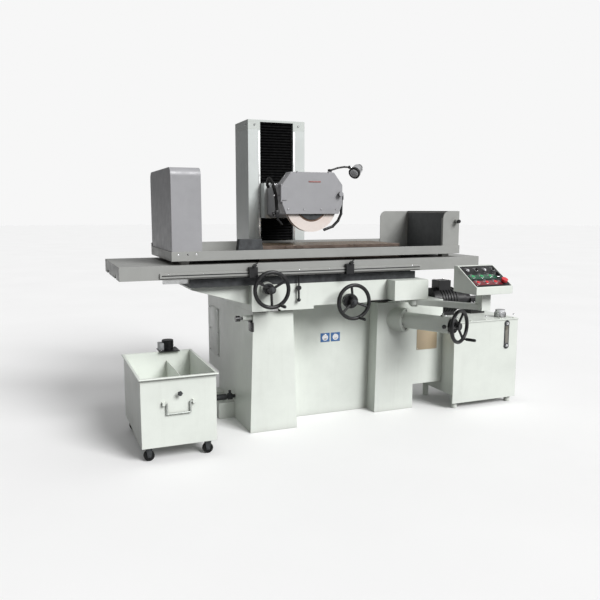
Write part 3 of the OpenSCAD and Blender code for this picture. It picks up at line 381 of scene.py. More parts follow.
FINISHES = {
    "machine_paint": enamel("machine_paint", srgb(229, 234, 227)),
    "column_paint": enamel("column_paint", srgb(206, 211, 209)),
    "cap_paint": enamel("cap_paint", srgb(200, 205, 201)),
    "way_steel": ground_steel("way_steel", srgb(205, 206, 206), 0.3, "Z"),
    "bellows_rubber": rubber("bellows_rubber", (0.0025, 0.0025, 0.003), 0.8),
    "dark_iron": cast_iron("dark_iron", srgb(74, 76, 78)),
    "black_paint": glossy_black("black_paint", (0.006, 0.006, 0.007), 0.36),
    "black_plastic": glossy_black("black_plastic", (0.005, 0.005, 0.006), 0.24, 0.35),
    "black_rubber": rubber("black_rubber", (0.012, 0.012, 0.012)),
    "bright_steel": ground_steel("bright_steel", srgb(225, 226, 228), 0.16, "X"),
    "table_grey": sheet_metal("table_grey", srgb(159, 160, 157)),
    "guard_grey": sheet_metal("guard_grey", srgb(161, 161, 164)),
    "chuck_copper": chuck_face("chuck_copper"),
    "wheel_grit": grit("wheel_grit", srgb(253, 241, 234)),
    # The red and green plastic parts are no lamps; their small emission is a painted glow.
    "red_plastic": moulded("red_plastic", srgb(205, 24, 38), painted_glow=0.05),
    "green_plastic": moulded("green_plastic", srgb(30, 150, 88), painted_glow=0.08),
}
# A dark grey sheet finish that paints the shade inside the right guard's end wall.
SHADE_SHEET = sheet_metal("painted_shade_sheet", srgb(86, 88, 90), 0.5)
TAN_PLATE = enamel("tan_plate", srgb(188, 170, 142), 0.4)
BADGE_BLUE = enamel("badge_blue", srgb(60, 110, 170), 0.3)
STRIPE_RED = enamel("stripe_red", srgb(150, 100, 95), 0.4)
PANEL_RED = moulded("panel_red", (0.16, 0.008, 0.016), 0.35)
PANEL_GREEN = moulded("panel_green", (0.004, 0.075, 0.036), 0.35)
ZINC = ground_steel("zinc_plate", srgb(186, 190, 186), 0.5, "X")
ALUMINIUM = cast_iron("cast_aluminium", srgb(178, 180, 182), 0.5)
BRASS = ground_steel("brass", srgb(196, 160, 96), 0.3, "X")
OIL_GLASS = clear_glass("oil_glass", (0.16, 0.15, 0.12))
LAMP_GLASS = clear_glass("lamp_glass", (0.65, 0.66, 0.68))
PAPER = grit("blotter_paper", srgb(120, 96, 80))


def paint_frame():
    """Gives every CAD node the finish of its slot, and the drop handle a zinc plating."""
    for part in frame["record"]["subparts"]:
        body = frame["nodes"][part["node"]]
        finish = FINISHES[part["material_slot"]]
        if not body.material_slots:
            body.data.materials.append(finish)
        for place in body.material_slots:
            place.material = finish
    frame["nodes"]["tank_handle"].material_slots[0].material = ZINC


paint_frame()


# ---------- mesh helpers ----------

def aim(at, direction):
    """A matrix that puts the origin at a point and turns +Z to a direction."""
    return Matrix.Translation(at) @ direction.to_track_quat("Z", "Y").to_matrix().to_4x4()


def piece(name, body, finish, build, bend=30):
    """Makes one object from a function that fills a bmesh, and rides it on a body."""
    mesh = bpy.data.meshes.new(name)
    shape = bmesh.new()
    build(shape)
    bmesh.ops.recalc_face_normals(shape, faces=shape.faces)
    shape.to_mesh(mesh)
    shape.free()
    mesh.shade_smooth()
    mesh.set_sharp_from_angle(angle=math.radians(bend))
    made = bpy.data.objects.new(name, mesh)
    bpy.context.collection.objects.link(made)
    if isinstance(finish, str):
        mesh.materials.append(FINISHES[finish])
    else:
        mesh.materials.append(finish)
    if body:
        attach(made, body)
    return made


def lathe(shape, profile, place, steps=32):
    """A turned form: (radius, height) pairs, in metres, spun about the placed Z axis."""
    rings = []
    for radius, height in profile:
        angles = [2 * math.pi * i / steps for i in range(steps)]
        rings.append([
            shape.verts.new(place @ Vector((radius * math.cos(a), radius * math.sin(a), height)))
            for a in angles
        ])
    for lower, upper in zip(rings, rings[1:]):
        for i in range(steps):
            after = (i + 1) % steps
            shape.faces.new((lower[i], lower[after], upper[after], upper[i]))
    shape.faces.new(rings[0][::-1])
    shape.faces.new(rings[-1])


def slab(shape, low, high, edge=0.001, place=Matrix.Identity(4)):
    """A block between two corners, with rounded edges."""
    made = bmesh.ops.create_cube(shape, size=1)["verts"]
    size = high - low
    centre = (low + high) / 2
    for vert in made:
        vert.co = Vector(a * b for a, b in zip(vert.co, size)) + centre
    edges = list({e for v in made for e in v.link_edges})
    offset = min(edge, min(size) * 0.45)
    rounded = bmesh.ops.bevel(shape, geom=edges, offset=offset, segments=2, affect="EDGES",
                              profile=0.5)
    whole = set(made) | set(rounded["verts"])
    for vert in whole:
        if vert.is_valid:
            vert.co = place @ vert.co


def smooth_path(points, steps=8):
    """Catmull-Rom points through the given ones."""
    padded = [2 * points[0] - points[1], *points, 2 * points[-1] - points[-2]]
    path = []
    for a, b, c, d in zip(padded, padded[1:], padded[2:], padded[3:]):
        for i in range(steps):
            t = i / steps
            path.append(0.5 * (2 * b + (c - a) * t + (2 * a - 5 * b + 4 * c - d) * t * t
                               + (3 * b - a - 3 * c + d) * t ** 3))
    return path + [points[-1]]


def tube(shape, path, radius, sides=14):
    """A round tube along a path, with its ends closed."""
    side = (path[1] - path[0]).orthogonal().normalized()
    rings = []
    for i, point in enumerate(path):
        before, after = path[max(i - 1, 0)], path[min(i + 1, len(path) - 1)]
        forward = (after - before).normalized()
        side = (side - forward * side.dot(forward)).normalized()
        up = forward.cross(side)
        angles = [2 * math.pi * k / sides for k in range(sides)]
        rings.append([
            shape.verts.new(point + radius * (math.cos(a) * side + math.sin(a) * up))
            for a in angles
        ])
    for lower, upper in zip(rings, rings[1:]):
        for k in range(sides):
            after = (k + 1) % sides
            shape.faces.new((lower[k], lower[after], upper[after], upper[k]))
    shape.faces.new(rings[0][::-1])
    shape.faces.new(rings[-1])


def socket_screw(shape, at, direction, radius=0.005):
    """A cap screw's round head with its hexagon socket."""
    place = aim(at, direction)
    tall = radius * 1.1
    head = [(radius, 0), (radius, tall * 0.85), (radius * 0.86, tall), (radius * 0.6, tall)]
    lathe(shape, head, place, 20)
    lathe(shape, [(radius * 0.58, tall * 1.001), (radius * 0.52, tall * 1.002)], place, 6)


def hex_bolt(shape, at, direction, radius=0.009, washer=1.35):
    """A hexagon head on its washer."""
    place = aim(at, direction)
    thick = radius * 0.22
    flange = radius * washer
    lathe(shape, [(flange, 0), (flange, thick * 0.8), (flange * 0.95, thick)], place, 24)
    head = [(radius, thick), (radius, thick + radius * 0.62),
            (radius * 0.86, thick + radius * 0.72)]
    lathe(shape, head, place, 6)


def knob(shape, at, direction, radius, tall, lobes=0):
    """A hand knob on a neck, plain or lobed."""
    place = aim(at, direction)
    profile = [(0.42, 0), (0.42, 0.25), (0.8, 0.34), (1, 0.5), (1, 0.82), (0.9, 0.96), (0.6, 1)]
    steps = 6 * lobes if lobes else 32
    start = len(shape.verts)
    lathe(shape, [(r * radius, h * tall) for r, h in profile], place, steps)
    if lobes:
        shape.verts.ensure_lookup_table()
        inverse = place.inverted()
        for vert in shape.verts[start:]:
            local = inverse @ vert.co
            if local.xy.length > radius * 0.5:
                wave = 1 - 0.16 * (1 - math.cos(lobes * math.atan2(local.y, local.x))) / 2
                vert.co = place @ Vector((local.x * wave, local.y * wave, local.z))


# ---------- column and bellows ----------

def folded_bellows(name, node, folds):
    """A pleated way cover that stretches between the machine and the head."""
    low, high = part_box(node)
    pitch = (high.z - low.z) / (2 * folds)
    half_ridge = (high.x - low.x) / 2 - 0.0005
    half_valley = half_ridge - 0.005
    ridge, valley = low.y + 0.0005, low.y + 0.014
    corner = 0.006

    def build(shape):
        rings = []
        for i in range(2 * folds + 1):
            z = low.z + i * pitch
            half, front = (half_ridge, ridge) if i % 2 else (half_valley, valley)
            outline = [(-half, high.y), (-half, front + corner), (-half + corner, front),
                       (half - corner, front), (half, front + corner), (half, high.y)]
            rings.append([shape.verts.new((x, y, z)) for x, y in outline])
        for lower, upper in zip(rings, rings[1:]):
            for k in range(len(lower)):
                after = (k + 1) % len(lower)
                shape.faces.new((lower[k], lower[after], upper[after], upper[k]))
        shape.faces.new(rings[0][::-1])
        shape.faces.new(rings[-1])

    made = piece(name, None, "bellows_rubber", build, bend=80)
    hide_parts(node)
    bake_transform(made)


def make_bellows():
    """Both covers of the column's slot; each is fast to the machine at one end."""
    folded_bellows("upper_bellows_folds", "upper_bellows", 22)
    folded_bellows("lower_bellows_folds", "lower_bellows", 26)


def make_column_details():
    """Ground way strips beside the slot, cap screws, and a rear cover with its screws."""
    low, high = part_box("column_casting")
    slot_half, strip = 0.1295, 0.013
    cover_half, cover_proud = 0.15, 0.003
    cap_low, cap_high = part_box("column_cap")
    cap_middle = (cap_low.z + cap_high.z) / 2

    def ways(shape):
        for side in (-1, 1):
            near, far = sorted((side * slot_half, side * (slot_half + strip)))
            slab(shape, Vector((near, low.y - 0.0008, low.z + 0.03)),
                 Vector((far, low.y + 0.0015, high.z - 0.012)))

    def rear_cover(shape):
        slab(shape, Vector((-cover_half, high.y - 0.001, low.z + 0.18)),
             Vector((cover_half, high.y + cover_proud, high.z - 0.14)), 0.002)

    def rear_screws(shape):
        for x in (-0.135, 0.135):
            for step in range(5):
                z = low.z + 0.2 + step * (high.z - low.z - 0.36) / 4
                socket_screw(shape, Vector((x, high.y + cover_proud, z)), Y, 0.006)

    def cap_screws(shape):
        for x in (low.x + 0.05, high.x - 0.05):
            socket_screw(shape, Vector((x, cap_low.y, cap_middle)), -Y, 0.006)
        for y in (cap_low.y + 0.05, cap_high.y - 0.05):
            for side, x in ((-1, cap_low.x), (1, cap_high.x)):
                socket_screw(shape, Vector((x, y, cap_middle)), side * X, 0.006)

    piece("column_way_strips", "machine_base", "way_steel", ways)
    piece("column_rear_cover", "machine_base", "column_paint", rear_cover)
    piece("column_rear_cover_screws", "machine_base", "bright_steel", rear_screws)
    piece("column_cap_screws", "machine_base", "bright_steel", cap_screws)


# ---------- base ----------

def make_base_details():
    """Badge, cabinet plate, side covers and the lubricator's body."""
    panel_front, cabinet_front, leg_side = -0.341, -0.457, -0.447
    pedestal_sides = ((-1, leg_side), (1, 0.477))
    badge_lefts, badge_w, badge_low, badge_high = (0.100, 0.178), 0.068, 0.503, 0.565
    ring = [(0.022, 0), (0.022, 0.0008), (0.020, 0.0014), (0.015, 0.0014), (0.013, 0.0006)]
    rivet = [(0.003, 0), (0.0028, 0.001), (0.0015, 0.0018)]

    def badge(shape):
        for left in badge_lefts:
            slab(shape, Vector((left, panel_front - 0.002, badge_low)),
                 Vector((left + badge_w, panel_front + 0.001, badge_high)), 0.0015)

    def badge_rings(shape):
        for left in badge_lefts:
            lathe(shape, ring, aim(Vector((left + 0.034, panel_front - 0.0018, 0.534)), -Y), 32)

    def blank_plate(shape):
        slab(shape, Vector((0.791, cabinet_front - 0.002, 0.417)),
             Vector((0.958, cabinet_front + 0.001, 0.569)), 0.001)

    def plate_rivets(shape):
        for x in (0.798, 0.951):
            for z in (0.424, 0.562):
                lathe(shape, rivet, aim(Vector((x, cabinet_front - 0.002, z)), -Y), 16)

    def side_covers(shape):
        for side, x in pedestal_sides:
            near, far = sorted((x - side * 0.001, x + side * 0.003))
            slab(shape, Vector((near, 0.27, 0.32)), Vector((far, 0.53, 0.68)), 0.002)

    def side_cover_screws(shape):
        for side, x in pedestal_sides:
            for y in (0.285, 0.515):
                for z in (0.335, 0.5, 0.665):
                    socket_screw(shape, Vector((x + side * 0.003, y, z)), side * X, 0.006)

    def lubricator(shape):
        knob_low, knob_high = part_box("lube_knob")
        centre = (knob_low + knob_high) / 2
        foot = Vector((leg_side, centre.y, centre.z - 0.045))
        slab(shape, foot + mm(-14, -34, -40), foot + mm(4, 34, 22), 0.006)
        slab(shape, foot + mm(-26, -16, 24), foot + mm(4, 16, 30), 0.002)

    piece("front_badge", "machine_base", BADGE_BLUE, badge)
    piece("front_badge_rings", "machine_base", "bright_steel", badge_rings)
    piece("cabinet_blank_plate", "machine_base", TAN_PLATE, blank_plate)
    piece("cabinet_plate_rivets", "machine_base", "bright_steel", plate_rivets)
    piece("side_access_covers", "machine_base", "machine_paint", side_covers)
    piece("side_access_cover_screws", "machine_base", "bright_steel", side_cover_screws)
    piece("lubricator_body", "machine_base", "black_plastic", lubricator)


def make_elevating_details():
    """Flange bolts, clamp screw and lock knob of the elevating tube."""
    root = mm(635.5, -457, 650)
    turn = math.radians(26.5)
    forward = Vector((math.sin(turn), -math.cos(turn), 0))
    side = forward.cross(Z)
    boss = root + forward * 0.045
    bolt_circle = 0.067

    def bolts(shape):
        for i in range(6):
            angle = math.radians(30 + 60 * i)
            outward = math.cos(angle) * side + math.sin(angle) * Z
            spot = boss + forward * 0.022 + bolt_circle * outward
            hex_bolt(shape, spot, forward, 0.0075, 1.2)

    def clamp(shape):
        socket_screw(shape, root + forward * 0.34 + Z * 0.054, Z, 0.008)
        knob(shape, root + forward * 0.40 + side * 0.054, side, 0.014, 0.028)

    piece("elevating_tube_bolts", "machine_base", "bright_steel", bolts)
    piece("elevating_tube_clamp", "machine_base", "black_plastic", clamp)


# ---------- handwheels ----------

def wheel_fittings(name, body, dial_at, dial_radius, hub_front):
    """A graduated dial on a handwheel's collar, and the nut and washer on its hub."""
    rim = dial_radius - 0.002
    divisions = 50

    def dial(shape):
        profile = [(rim, 0), (dial_radius, 0.001), (dial_radius, 0.015), (rim, 0.017)]
        lathe(shape, profile, aim(dial_at, -Y), 60)

    def marks(shape):
        for i in range(divisions):
            turn = Matrix.Rotation(2 * math.pi * i / divisions, 4, "Y")
            tall = 0.011 if i % 5 == 0 else 0.006
            slab(shape, Vector((-0.0004, -tall - 0.002, dial_radius - 0.0006)),
                 Vector((0.0004, -0.002, dial_radius + 0.0002)),
                 0.0001, Matrix.Translation(dial_at) @ turn)

    def hub_nut(shape):
        hex_bolt(shape, Vector((dial_at.x, hub_front, dial_at.z)), -Y, 0.011, 1.5)

    piece(f"{name}_dial", body, "dark_iron", dial)
    piece(f"{name}_dial_marks", body, "bright_steel", marks)
    piece(f"{name}_hub_nut", body, "dark_iron", hub_nut)


# ---------- table, guards and chuck ----------

def make_chuck_details():
    """Brass pole gaps across the chuck's face, its end clamps and the seam along its front."""
    low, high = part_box("magnetic_chuck")
    pole_pitch, gap_w = 0.0195, 0.0035
    clamp_l = 0.03

    def strips(shape):
        count = int((high.x - low.x - 0.06) / pole_pitch)
        for i in range(count):
            x = low.x + 0.035 + i * pole_pitch
            slab(shape, Vector((x, low.y + 0.02, high.z - 0.001)),
                 Vector((x + gap_w, high.y - 0.02, high.z + 0.0002)), 0.0001)

    def clamps(shape):
        for x, side in ((low.x, -1), (high.x, 1)):
            for y in (low.y + 0.09, high.y - 0.09):
                near, far = sorted((x, x + side * clamp_l))
                slab(shape, Vector((near, y - 0.022, low.z + 0.0005)),
                     Vector((far, y + 0.022, low.z + 0.026)), 0.002)

    def clamp_bolts(shape):
        for x, side in ((low.x, -1), (high.x, 1)):
            for y in (low.y + 0.09, high.y - 0.09):
                hex_bolt(shape, Vector((x + side * 0.016, y, low.z + 0.026)), Z, 0.010, 1.25)

    def side_band(shape):
        slab(shape, Vector((low.x + 0.01, low.y - 0.0012, high.z - 0.024)),
             Vector((high.x - 0.01, low.y + 0.001, high.z - 0.021)), 0.0003)

    piece("chuck_pole_gaps", "table", BRASS, strips)
    piece("chuck_end_clamps", "table", "dark_iron", clamps)
    piece("chuck_clamp_bolts", "table", "bright_steel", clamp_bolts)
    piece("chuck_side_seam", "table", "dark_iron", side_band)


def make_guard_details():
    """Bolts of the left guard, and the right guard's painted shade sheet on its end wall, edge
    strip and knob.
    """
    left_low, left_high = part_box("left_guard")
    right_low, right_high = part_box("right_guard")

    def bolts(shape):
        # The first place holds two heads, one on the other.
        second = left_low.x + 0.09
        for x in (second, second, left_low.x + 0.035, left_high.x - 0.035):
            hex_bolt(shape, Vector((x, left_low.y, left_low.z + 0.03)), -Y, 0.006)

    def end_wall_shade(shape):
        # Painted shade: a dark sheet on the end wall's inner face, which is only in shadow.
        slab(shape, Vector((right_high.x - 0.0065, right_low.y + 0.03, right_low.z + 0.008)),
             Vector((right_high.x - 0.0045, right_high.y - 0.012, right_high.z - 0.012)), 0.0006)

    def rolled_edge(shape):
        x, z = right_high.x - 0.003, right_high.z - 0.002
        ends = (right_low.y + 0.03, 0, right_high.y - 0.01)
        tube(shape, [Vector((x, y, z)) for y in ends], 0.003, 10)

    def knob_cap(shape):
        at = Vector((right_high.x - 0.027, right_low.y - 0.0005, right_high.z - 0.068))
        knob(shape, at, -Y, 0.0125, 0.02)

    piece("left_guard_bolts", "table", "bright_steel", bolts)
    piece("right_guard_end_wall_shade", "table", SHADE_SHEET, end_wall_shade)
    piece("right_guard_edge_strip", "table", "black_rubber", rolled_edge)
    piece("right_guard_knob_cap", "table", "black_plastic", knob_cap)


def make_table_details():
    """The dog rail's slot, drawn as a black strip of painted shade, and its screws, clear of the
    two dogs.
    """
    rail_front, rail_low, rail_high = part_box("table")[0].y, 1.012, 1.040
    middle = (rail_low + rail_high) / 2
    dog_x, dog_clear = (-0.48, 0.16), 0.06

    # Painted shade: a black strip stands in for the dark of the slot's recess.
    def slot_shade_strip(shape):
        slab(shape, Vector((-1.02, rail_front - 0.0002, middle - 0.003)),
             Vector((0.68, rail_front + 0.001, middle + 0.003)), 0.00008)

    def rail_screws(shape):
        for i in range(9):
            x = -0.98 + i * 0.2
            if all(abs(x - dog) > dog_clear for dog in dog_x):
                place = aim(Vector((x, rail_front, rail_high - 0.0055)), -Y)
                lathe(shape, [(0.004, 0), (0.0036, 0.0002)], place, 16)

    piece("dog_rail_slot_shade", "table", "black_paint", slot_shade_strip)
    piece("dog_rail_screws", "table", "bright_steel", rail_screws)


def make_dog_details():
    """Clamp knobs on the trip dogs."""
    for name in ("left_dog", "right_dog"):
        low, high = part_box(name)
        spot = Vector(((low.x + high.x) / 2, low.y + 0.001, high.z - 0.006 - 0.012))
        piece(f"{name}_clamp", name, "black_plastic",
              lambda shape, at=spot: knob(shape, at, -Y, 0.012, 0.022, 5))


# ---------- head ----------

def make_head_details():
    """Stripe, screws and knob of the guard door, coolant hose and valve, wheel blotter."""
    guard_low, guard_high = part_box("wheel_guard")
    front = -0.4365

    def stripe(shape):
        slab(shape, Vector((-0.03, front - 0.0008, 1.573)),
             Vector((0.055, front + 0.0005, 1.583)), 0.0004)

    def door_screws(shape):
        for x in (-0.17, -0.06, 0.06, 0.165):
            socket_screw(shape, Vector((x, front, guard_low.z + 0.03)), -Y, 0.0042)
        for x in (-0.11, 0.11):
            socket_screw(shape, Vector((x, front, guard_high.z - 0.022)), -Y, 0.0042)

    def hose(shape):
        route = [mm(-128, 60, 1560), mm(-150, 20, 1572), mm(-195, -120, 1600),
                 mm(-232, -260, 1600), mm(-238, -340, 1560), mm(-236, -384, 1490),
                 mm(-234, -396, 1420), mm(-232, -398, 1392)]
        tube(shape, smooth_path(route), 0.0105)

    def valve(shape):
        slab(shape, mm(-246, -412, 1352), mm(-220, -384, 1396), 0.004)
        spout = [(-232, 1356), (-226, 1338), (-208, 1318), (-196, 1304)]
        tube(shape, [mm(x, -398, z) for x, z in spout], 0.006)
        knob(shape, mm(-246, -398, 1374), -X, 0.011, 0.02)

    def hose_clips(shape):
        for z, y in ((1.49, -0.384), (1.56, -0.34)):
            slab(shape, Vector((-0.2495, y - 0.006, z - 0.004)),
                 Vector((-0.211, y + 0.006, z + 0.004)), 0.001)

    def blotter(shape):
        wheel_low, wheel_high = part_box("grinding_wheel")
        centre = Vector((0, wheel_low.y, (wheel_low.z + wheel_high.z) / 2))
        lathe(shape, [(0.112, -0.0005), (0.112, 0.0006), (0.108, 0.0008)], aim(centre, -Y), 64)

    def knob_cap(shape):
        knob(shape, Vector((0.189, front - 0.0005, 1.500)), -Y, 0.0155, 0.026)

    piece("guard_door_stripe", "guard_door", STRIPE_RED, stripe)
    piece("guard_door_screws", "guard_door", "bright_steel", door_screws)
    piece("guard_door_knob_cap", "guard_door", "black_plastic", knob_cap)
    piece("coolant_hose", "head", "black_rubber", hose)
    piece("coolant_valve", "head", "black_paint", valve)
    piece("coolant_hose_clips", "head", "bright_steel", hose_clips)
    piece("wheel_blotter", "spindle", PAPER, blotter)


def make_lamp_details():
    """The lamp's black ring, lens and ribbed cap."""
    centre = mm(318, -425, 1656)
    forward = Vector((-0.696, -0.544, -0.469)).normalized()

    def ring(shape):
        profile = [(0.0345, 0.026), (0.0390, 0.028), (0.0392, 0.0425),
                   (0.037, 0.0445), (0.029, 0.0445), (0.0275, 0.0435)]
        lathe(shape, profile, aim(centre, forward), 48)

    def lens(shape):
        profile = [(0.0285, 0.0425), (0.0285, 0.0447), (0.024, 0.0462),
                   (0.015, 0.0474), (0.006, 0.0478)]
        lathe(shape, profile, aim(centre, forward), 40)

    def cap(shape):
        place = aim(centre - forward * 0.0525, forward)
        for i in range(4):
            z = i * 0.0075
            lathe(shape, [(0.0200, z), (0.0215, z + 0.001), (0.0215, z + 0.0045),
                          (0.0200, z + 0.0055)], place, 32)

    piece("lamp_ring", "lamp_head", "black_plastic", ring)
    piece("lamp_lens", "lamp_head", LAMP_GLASS, lens)
    piece("lamp_cap_ribs", "lamp_head", "black_plastic", cap)


# ---------- pendant ----------

def make_pendant_details():
    """The black control plate with its bezels, pilot lamps, switches and screws."""
    low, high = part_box("control_box")
    tilt, lip, run = math.radians(30), 0.046, 0.230
    width = high.x - low.x
    up_slope = Vector((0, math.cos(tilt), math.sin(tilt)))
    outward = Vector((0, -math.sin(tilt), math.cos(tilt)))
    corner = Vector((low.x, low.y, low.z + lip))
    columns = (0.038, 0.102, 0.166, 0.230)
    small_row, bar_row, band_end = 0.172, 0.197, width - 0.058
    bezel = [(0.0165, 0), (0.0165, 0.002), (0.0150, 0.0036), (0.0125, 0.0036), (0.0120, 0.0026)]
    panel = Matrix((X, up_slope, outward)).transposed().to_4x4()
    panel = Matrix.Translation(corner) @ panel

    def plate(shape):
        slab(shape, Vector((0.006, 0.006, 0.0001)),
             Vector((width - 0.006, run - 0.006, 0.0014)), 0.0004, panel)

    def at(x, s, lift=0.0014):
        return panel @ Matrix.Translation((x, s, lift))

    def bezels(shape):
        for x in columns[:3]:
            for s in (0.046, 0.108):
                lathe(shape, bezel, at(x, s), 32)
        stop_ring = [(0.0185, 0), (0.0185, 0.0018), (0.0170, 0.0030)]
        lathe(shape, stop_ring, at(columns[3], 0.118, 0.0002), 32)

    def lamp_bezels(shape):
        for x in columns:
            lathe(shape, [(0.0125, 0), (0.0125, 0.004), (0.011, 0.006), (0.009, 0.006)],
                  at(x, small_row), 28)

    def lamps(shape):
        for x in (columns[0], columns[2]):
            lathe(shape, [(0.009, 0.004), (0.009, 0.008), (0.0075, 0.011), (0.004, 0.0125)],
                  at(x, small_row), 28)

    def switches(shape):
        for x in (columns[1], columns[3]):
            lathe(shape, [(0.0088, 0.004), (0.0088, 0.013), (0.0075, 0.0145)], at(x, small_row), 28)
            slab(shape, mm(-2, -11, 12), mm(2, 11, 18), 0.001, at(x, small_row))

    def label_bars(shape):
        for x in columns:
            slab(shape, mm(-13, -2, 0), mm(13, 2, 0.5), 0.0002, at(x, bar_row))
        for x in columns[:3]:
            for s in (0.073, 0.135):
                slab(shape, mm(-11, -1.6, 0), mm(11, 1.6, 0.5), 0.0002, at(x, s))

    def screws(shape):
        for x in (0.014, width - 0.014):
            for s in (0.014, run - 0.014):
                socket_screw(shape, panel @ Vector((x, s, 0.0014)), outward, 0.0035)
        for x in (low.x + 0.03, high.x - 0.03):
            for z in (low.z + 0.03, low.z + 0.11):
                socket_screw(shape, Vector((x, high.y, z)), Y, 0.004)

    def band(shape, start, end):
        slab(shape, Vector((0.012, start, 0.0012)), Vector((band_end, end, 0.0016)), 0.0001, panel)

    piece("panel_plate", "pendant", "black_paint", plate)
    piece("panel_red_band", "pendant", PANEL_RED, lambda shape: band(shape, 0.022, 0.066))
    piece("panel_green_band", "pendant", PANEL_GREEN, lambda shape: band(shape, 0.086, 0.128))
    piece("panel_bezels", "pendant", "bright_steel", bezels)
    piece("panel_lamp_bezels", "pendant", "bright_steel", lamp_bezels)
    piece("panel_lamps", "pendant", LAMP_GLASS, lamps)
    piece("panel_switches", "pendant", "black_plastic", switches)
    piece("panel_label_bars", "pendant", "guard_grey", label_bars)
    piece("panel_screws", "pendant", "bright_steel", screws)


# ---------- oil unit ----------

def make_oil_unit_details():
    """Oil window, lid screws, cap ribs, and the pump's fan cover, screws and fittings."""
    tank_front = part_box("hydraulic_tank")[0].y
    lid_low, lid_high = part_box("tank_lid")
    cap_low, cap_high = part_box("filler_cap")
    pump_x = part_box("hydraulic_pump")[0].x
    motor_y, motor_z = -0.250, 0.727
    rib_count = 24
    window_x = 1.452

    def cap_ribs(shape):
        middle = (cap_low + cap_high) / 2
        place = Matrix.Translation((middle.x, middle.y, cap_low.z))
        for i in range(rib_count):
            slab(shape, Vector((-0.0022, 0.0385, 0.003)), Vector((0.0022, 0.0412, 0.033)), 0.001,
                 place @ Matrix.Rotation(2 * math.pi * i / rib_count, 4, "Z"))

    def fan_cover(shape):
        place = aim(Vector((pump_x, motor_y, motor_z)), -X)
        for outer in (0.085, 0.065, 0.045, 0.025):
            inner = outer - 0.008
            lathe(shape, [(outer, -0.004), (outer, 0.0014), (inner, 0.0014), (inner, -0.004)],
                  place, 40)

    def motor_screws(shape):
        for y in (-0.04, 0.04):
            for x in (0.072, 0.148):
                socket_screw(shape, Vector((pump_x + x, motor_y + y, motor_z + 0.155)), Z, 0.004)

    def fittings(shape):
        block_x = pump_x + 0.345
        for step in range(3):
            hex_bolt(shape, Vector((block_x + 0.03 * step, motor_y - 0.060, 0.700)), -Y, 0.010, 1.3)

    def window(shape):
        slab(shape, Vector((1.4385, tank_front - 0.0035, 0.440)),
             Vector((1.4655, tank_front + 0.001, 0.575)), 0.0015)

    def window_frame(shape):
        slab(shape, Vector((1.4305, tank_front - 0.002, 0.425)),
             Vector((1.4735, tank_front + 0.001, 0.590)), 0.0015)
        for z in (0.425, 0.590):
            lathe(shape, [(0.0215, -0.001), (0.0215, 0.0035), (0.0190, 0.0050)],
                  aim(Vector((window_x, tank_front, z)), -Y), 32)

    def window_bolts(shape):
        for z in (0.428, 0.587):
            hex_bolt(shape, Vector((window_x, tank_front - 0.005, z)), -Y, 0.0085, 1.2)

    def lid_screws(shape):
        for x in (lid_low.x + 0.03, (lid_low.x + lid_high.x) / 2, lid_high.x - 0.03):
            for y in (lid_low.y + 0.022, lid_high.y - 0.022):
                hex_bolt(shape, Vector((x, y, lid_high.z)), Z, 0.007)
        for y in (lid_low.y + 0.15, lid_low.y + 0.29):
            hex_bolt(shape, Vector((lid_low.x + 0.022, y, lid_high.z)), Z, 0.007)

    piece("oil_window", "machine_base", OIL_GLASS, window)
    piece("oil_window_frame", "machine_base", "dark_iron", window_frame)
    piece("oil_window_bolts", "machine_base", "bright_steel", window_bolts)
    piece("oil_tank_lid_screws", "machine_base", "bright_steel", lid_screws)
    piece("filler_cap_ribs", "filler_cap", "black_rubber", cap_ribs)
    piece("pump_fan_cover_rings", "machine_base", "dark_iron", fan_cover)
    piece("pump_motor_screws", "machine_base", "bright_steel", motor_screws)
    piece("pump_valve_fittings", "machine_base", "bright_steel", fittings)


# ---------- coolant tank ----------

def make_coolant_tank_details():
    """A rolled rim, the lobed knob on the front, and the pump's ribs, box and screws."""
    low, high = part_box("coolant_tank")
    pump_low, pump_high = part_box("coolant_pump")
    axis = Vector((pump_low.x + 0.065, pump_high.y - 0.05, high.z))
    rim_inset, rim_radius = 0.002, 0.0045

    def rim(shape):
        left, right = low.x + rim_inset, high.x - rim_inset
        front, back = low.y + rim_inset, high.y - rim_inset
        turns = ((left, front), (right, front), (right, back), (left, back))
        ring = [Vector((x, y, high.z - 0.003)) for x, y in turns]
        for start, end in zip(ring, ring[1:] + ring[:1]):
            tube(shape, [start, (start + end) / 2, end], rim_radius, 10)

    def front_knob(shape):
        at = Vector(((low.x + high.x) / 2, low.y - 0.0003, low.z + 0.305))
        knob(shape, at, -Y, 0.015, 0.012, 5)

    def pump_dome(shape):
        profile = [(0.0365, 0.008)]
        for i in range(5):
            z = 0.012 + 0.010 * i
            profile += [(0.0365, z), (0.0385, z + 0.001), (0.0385, z + 0.004), (0.0365, z + 0.005)]
        profile += [(0.0375, 0.062), (0.0375, 0.066), (0.030, 0.0675), (0.012, 0.0678)]
        lathe(shape, profile, Matrix.Translation(axis), 36)

    def terminal_box(shape):
        slab(shape, axis + mm(-62, -32, 5), axis + mm(-29, 32, 52), 0.004)
        lathe(shape, [(0.008, 0), (0.008, 0.012), (0.006, 0.014)],
              aim(axis + mm(-46, 32, 28), Y), 20)

    def plate_screws(shape):
        for x in (-0.055, 0.055):
            for y in (-0.060, 0.040):
                socket_screw(shape, axis + Vector((x, y, 0.005)), Z, 0.0045)

    piece("coolant_pump_motor_ribs", "coolant_tank", "black_paint", pump_dome)
    piece("coolant_pump_terminal_box", "coolant_tank", ALUMINIUM, terminal_box)
    piece("coolant_pump_screws", "coolant_tank", "bright_steel", plate_screws)
    piece("coolant_tank_rim", "coolant_tank", "machine_paint", rim)
    piece("coolant_tank_front_knob", "coolant_tank", "dark_iron", front_knob)


# ---------- floor and light ----------

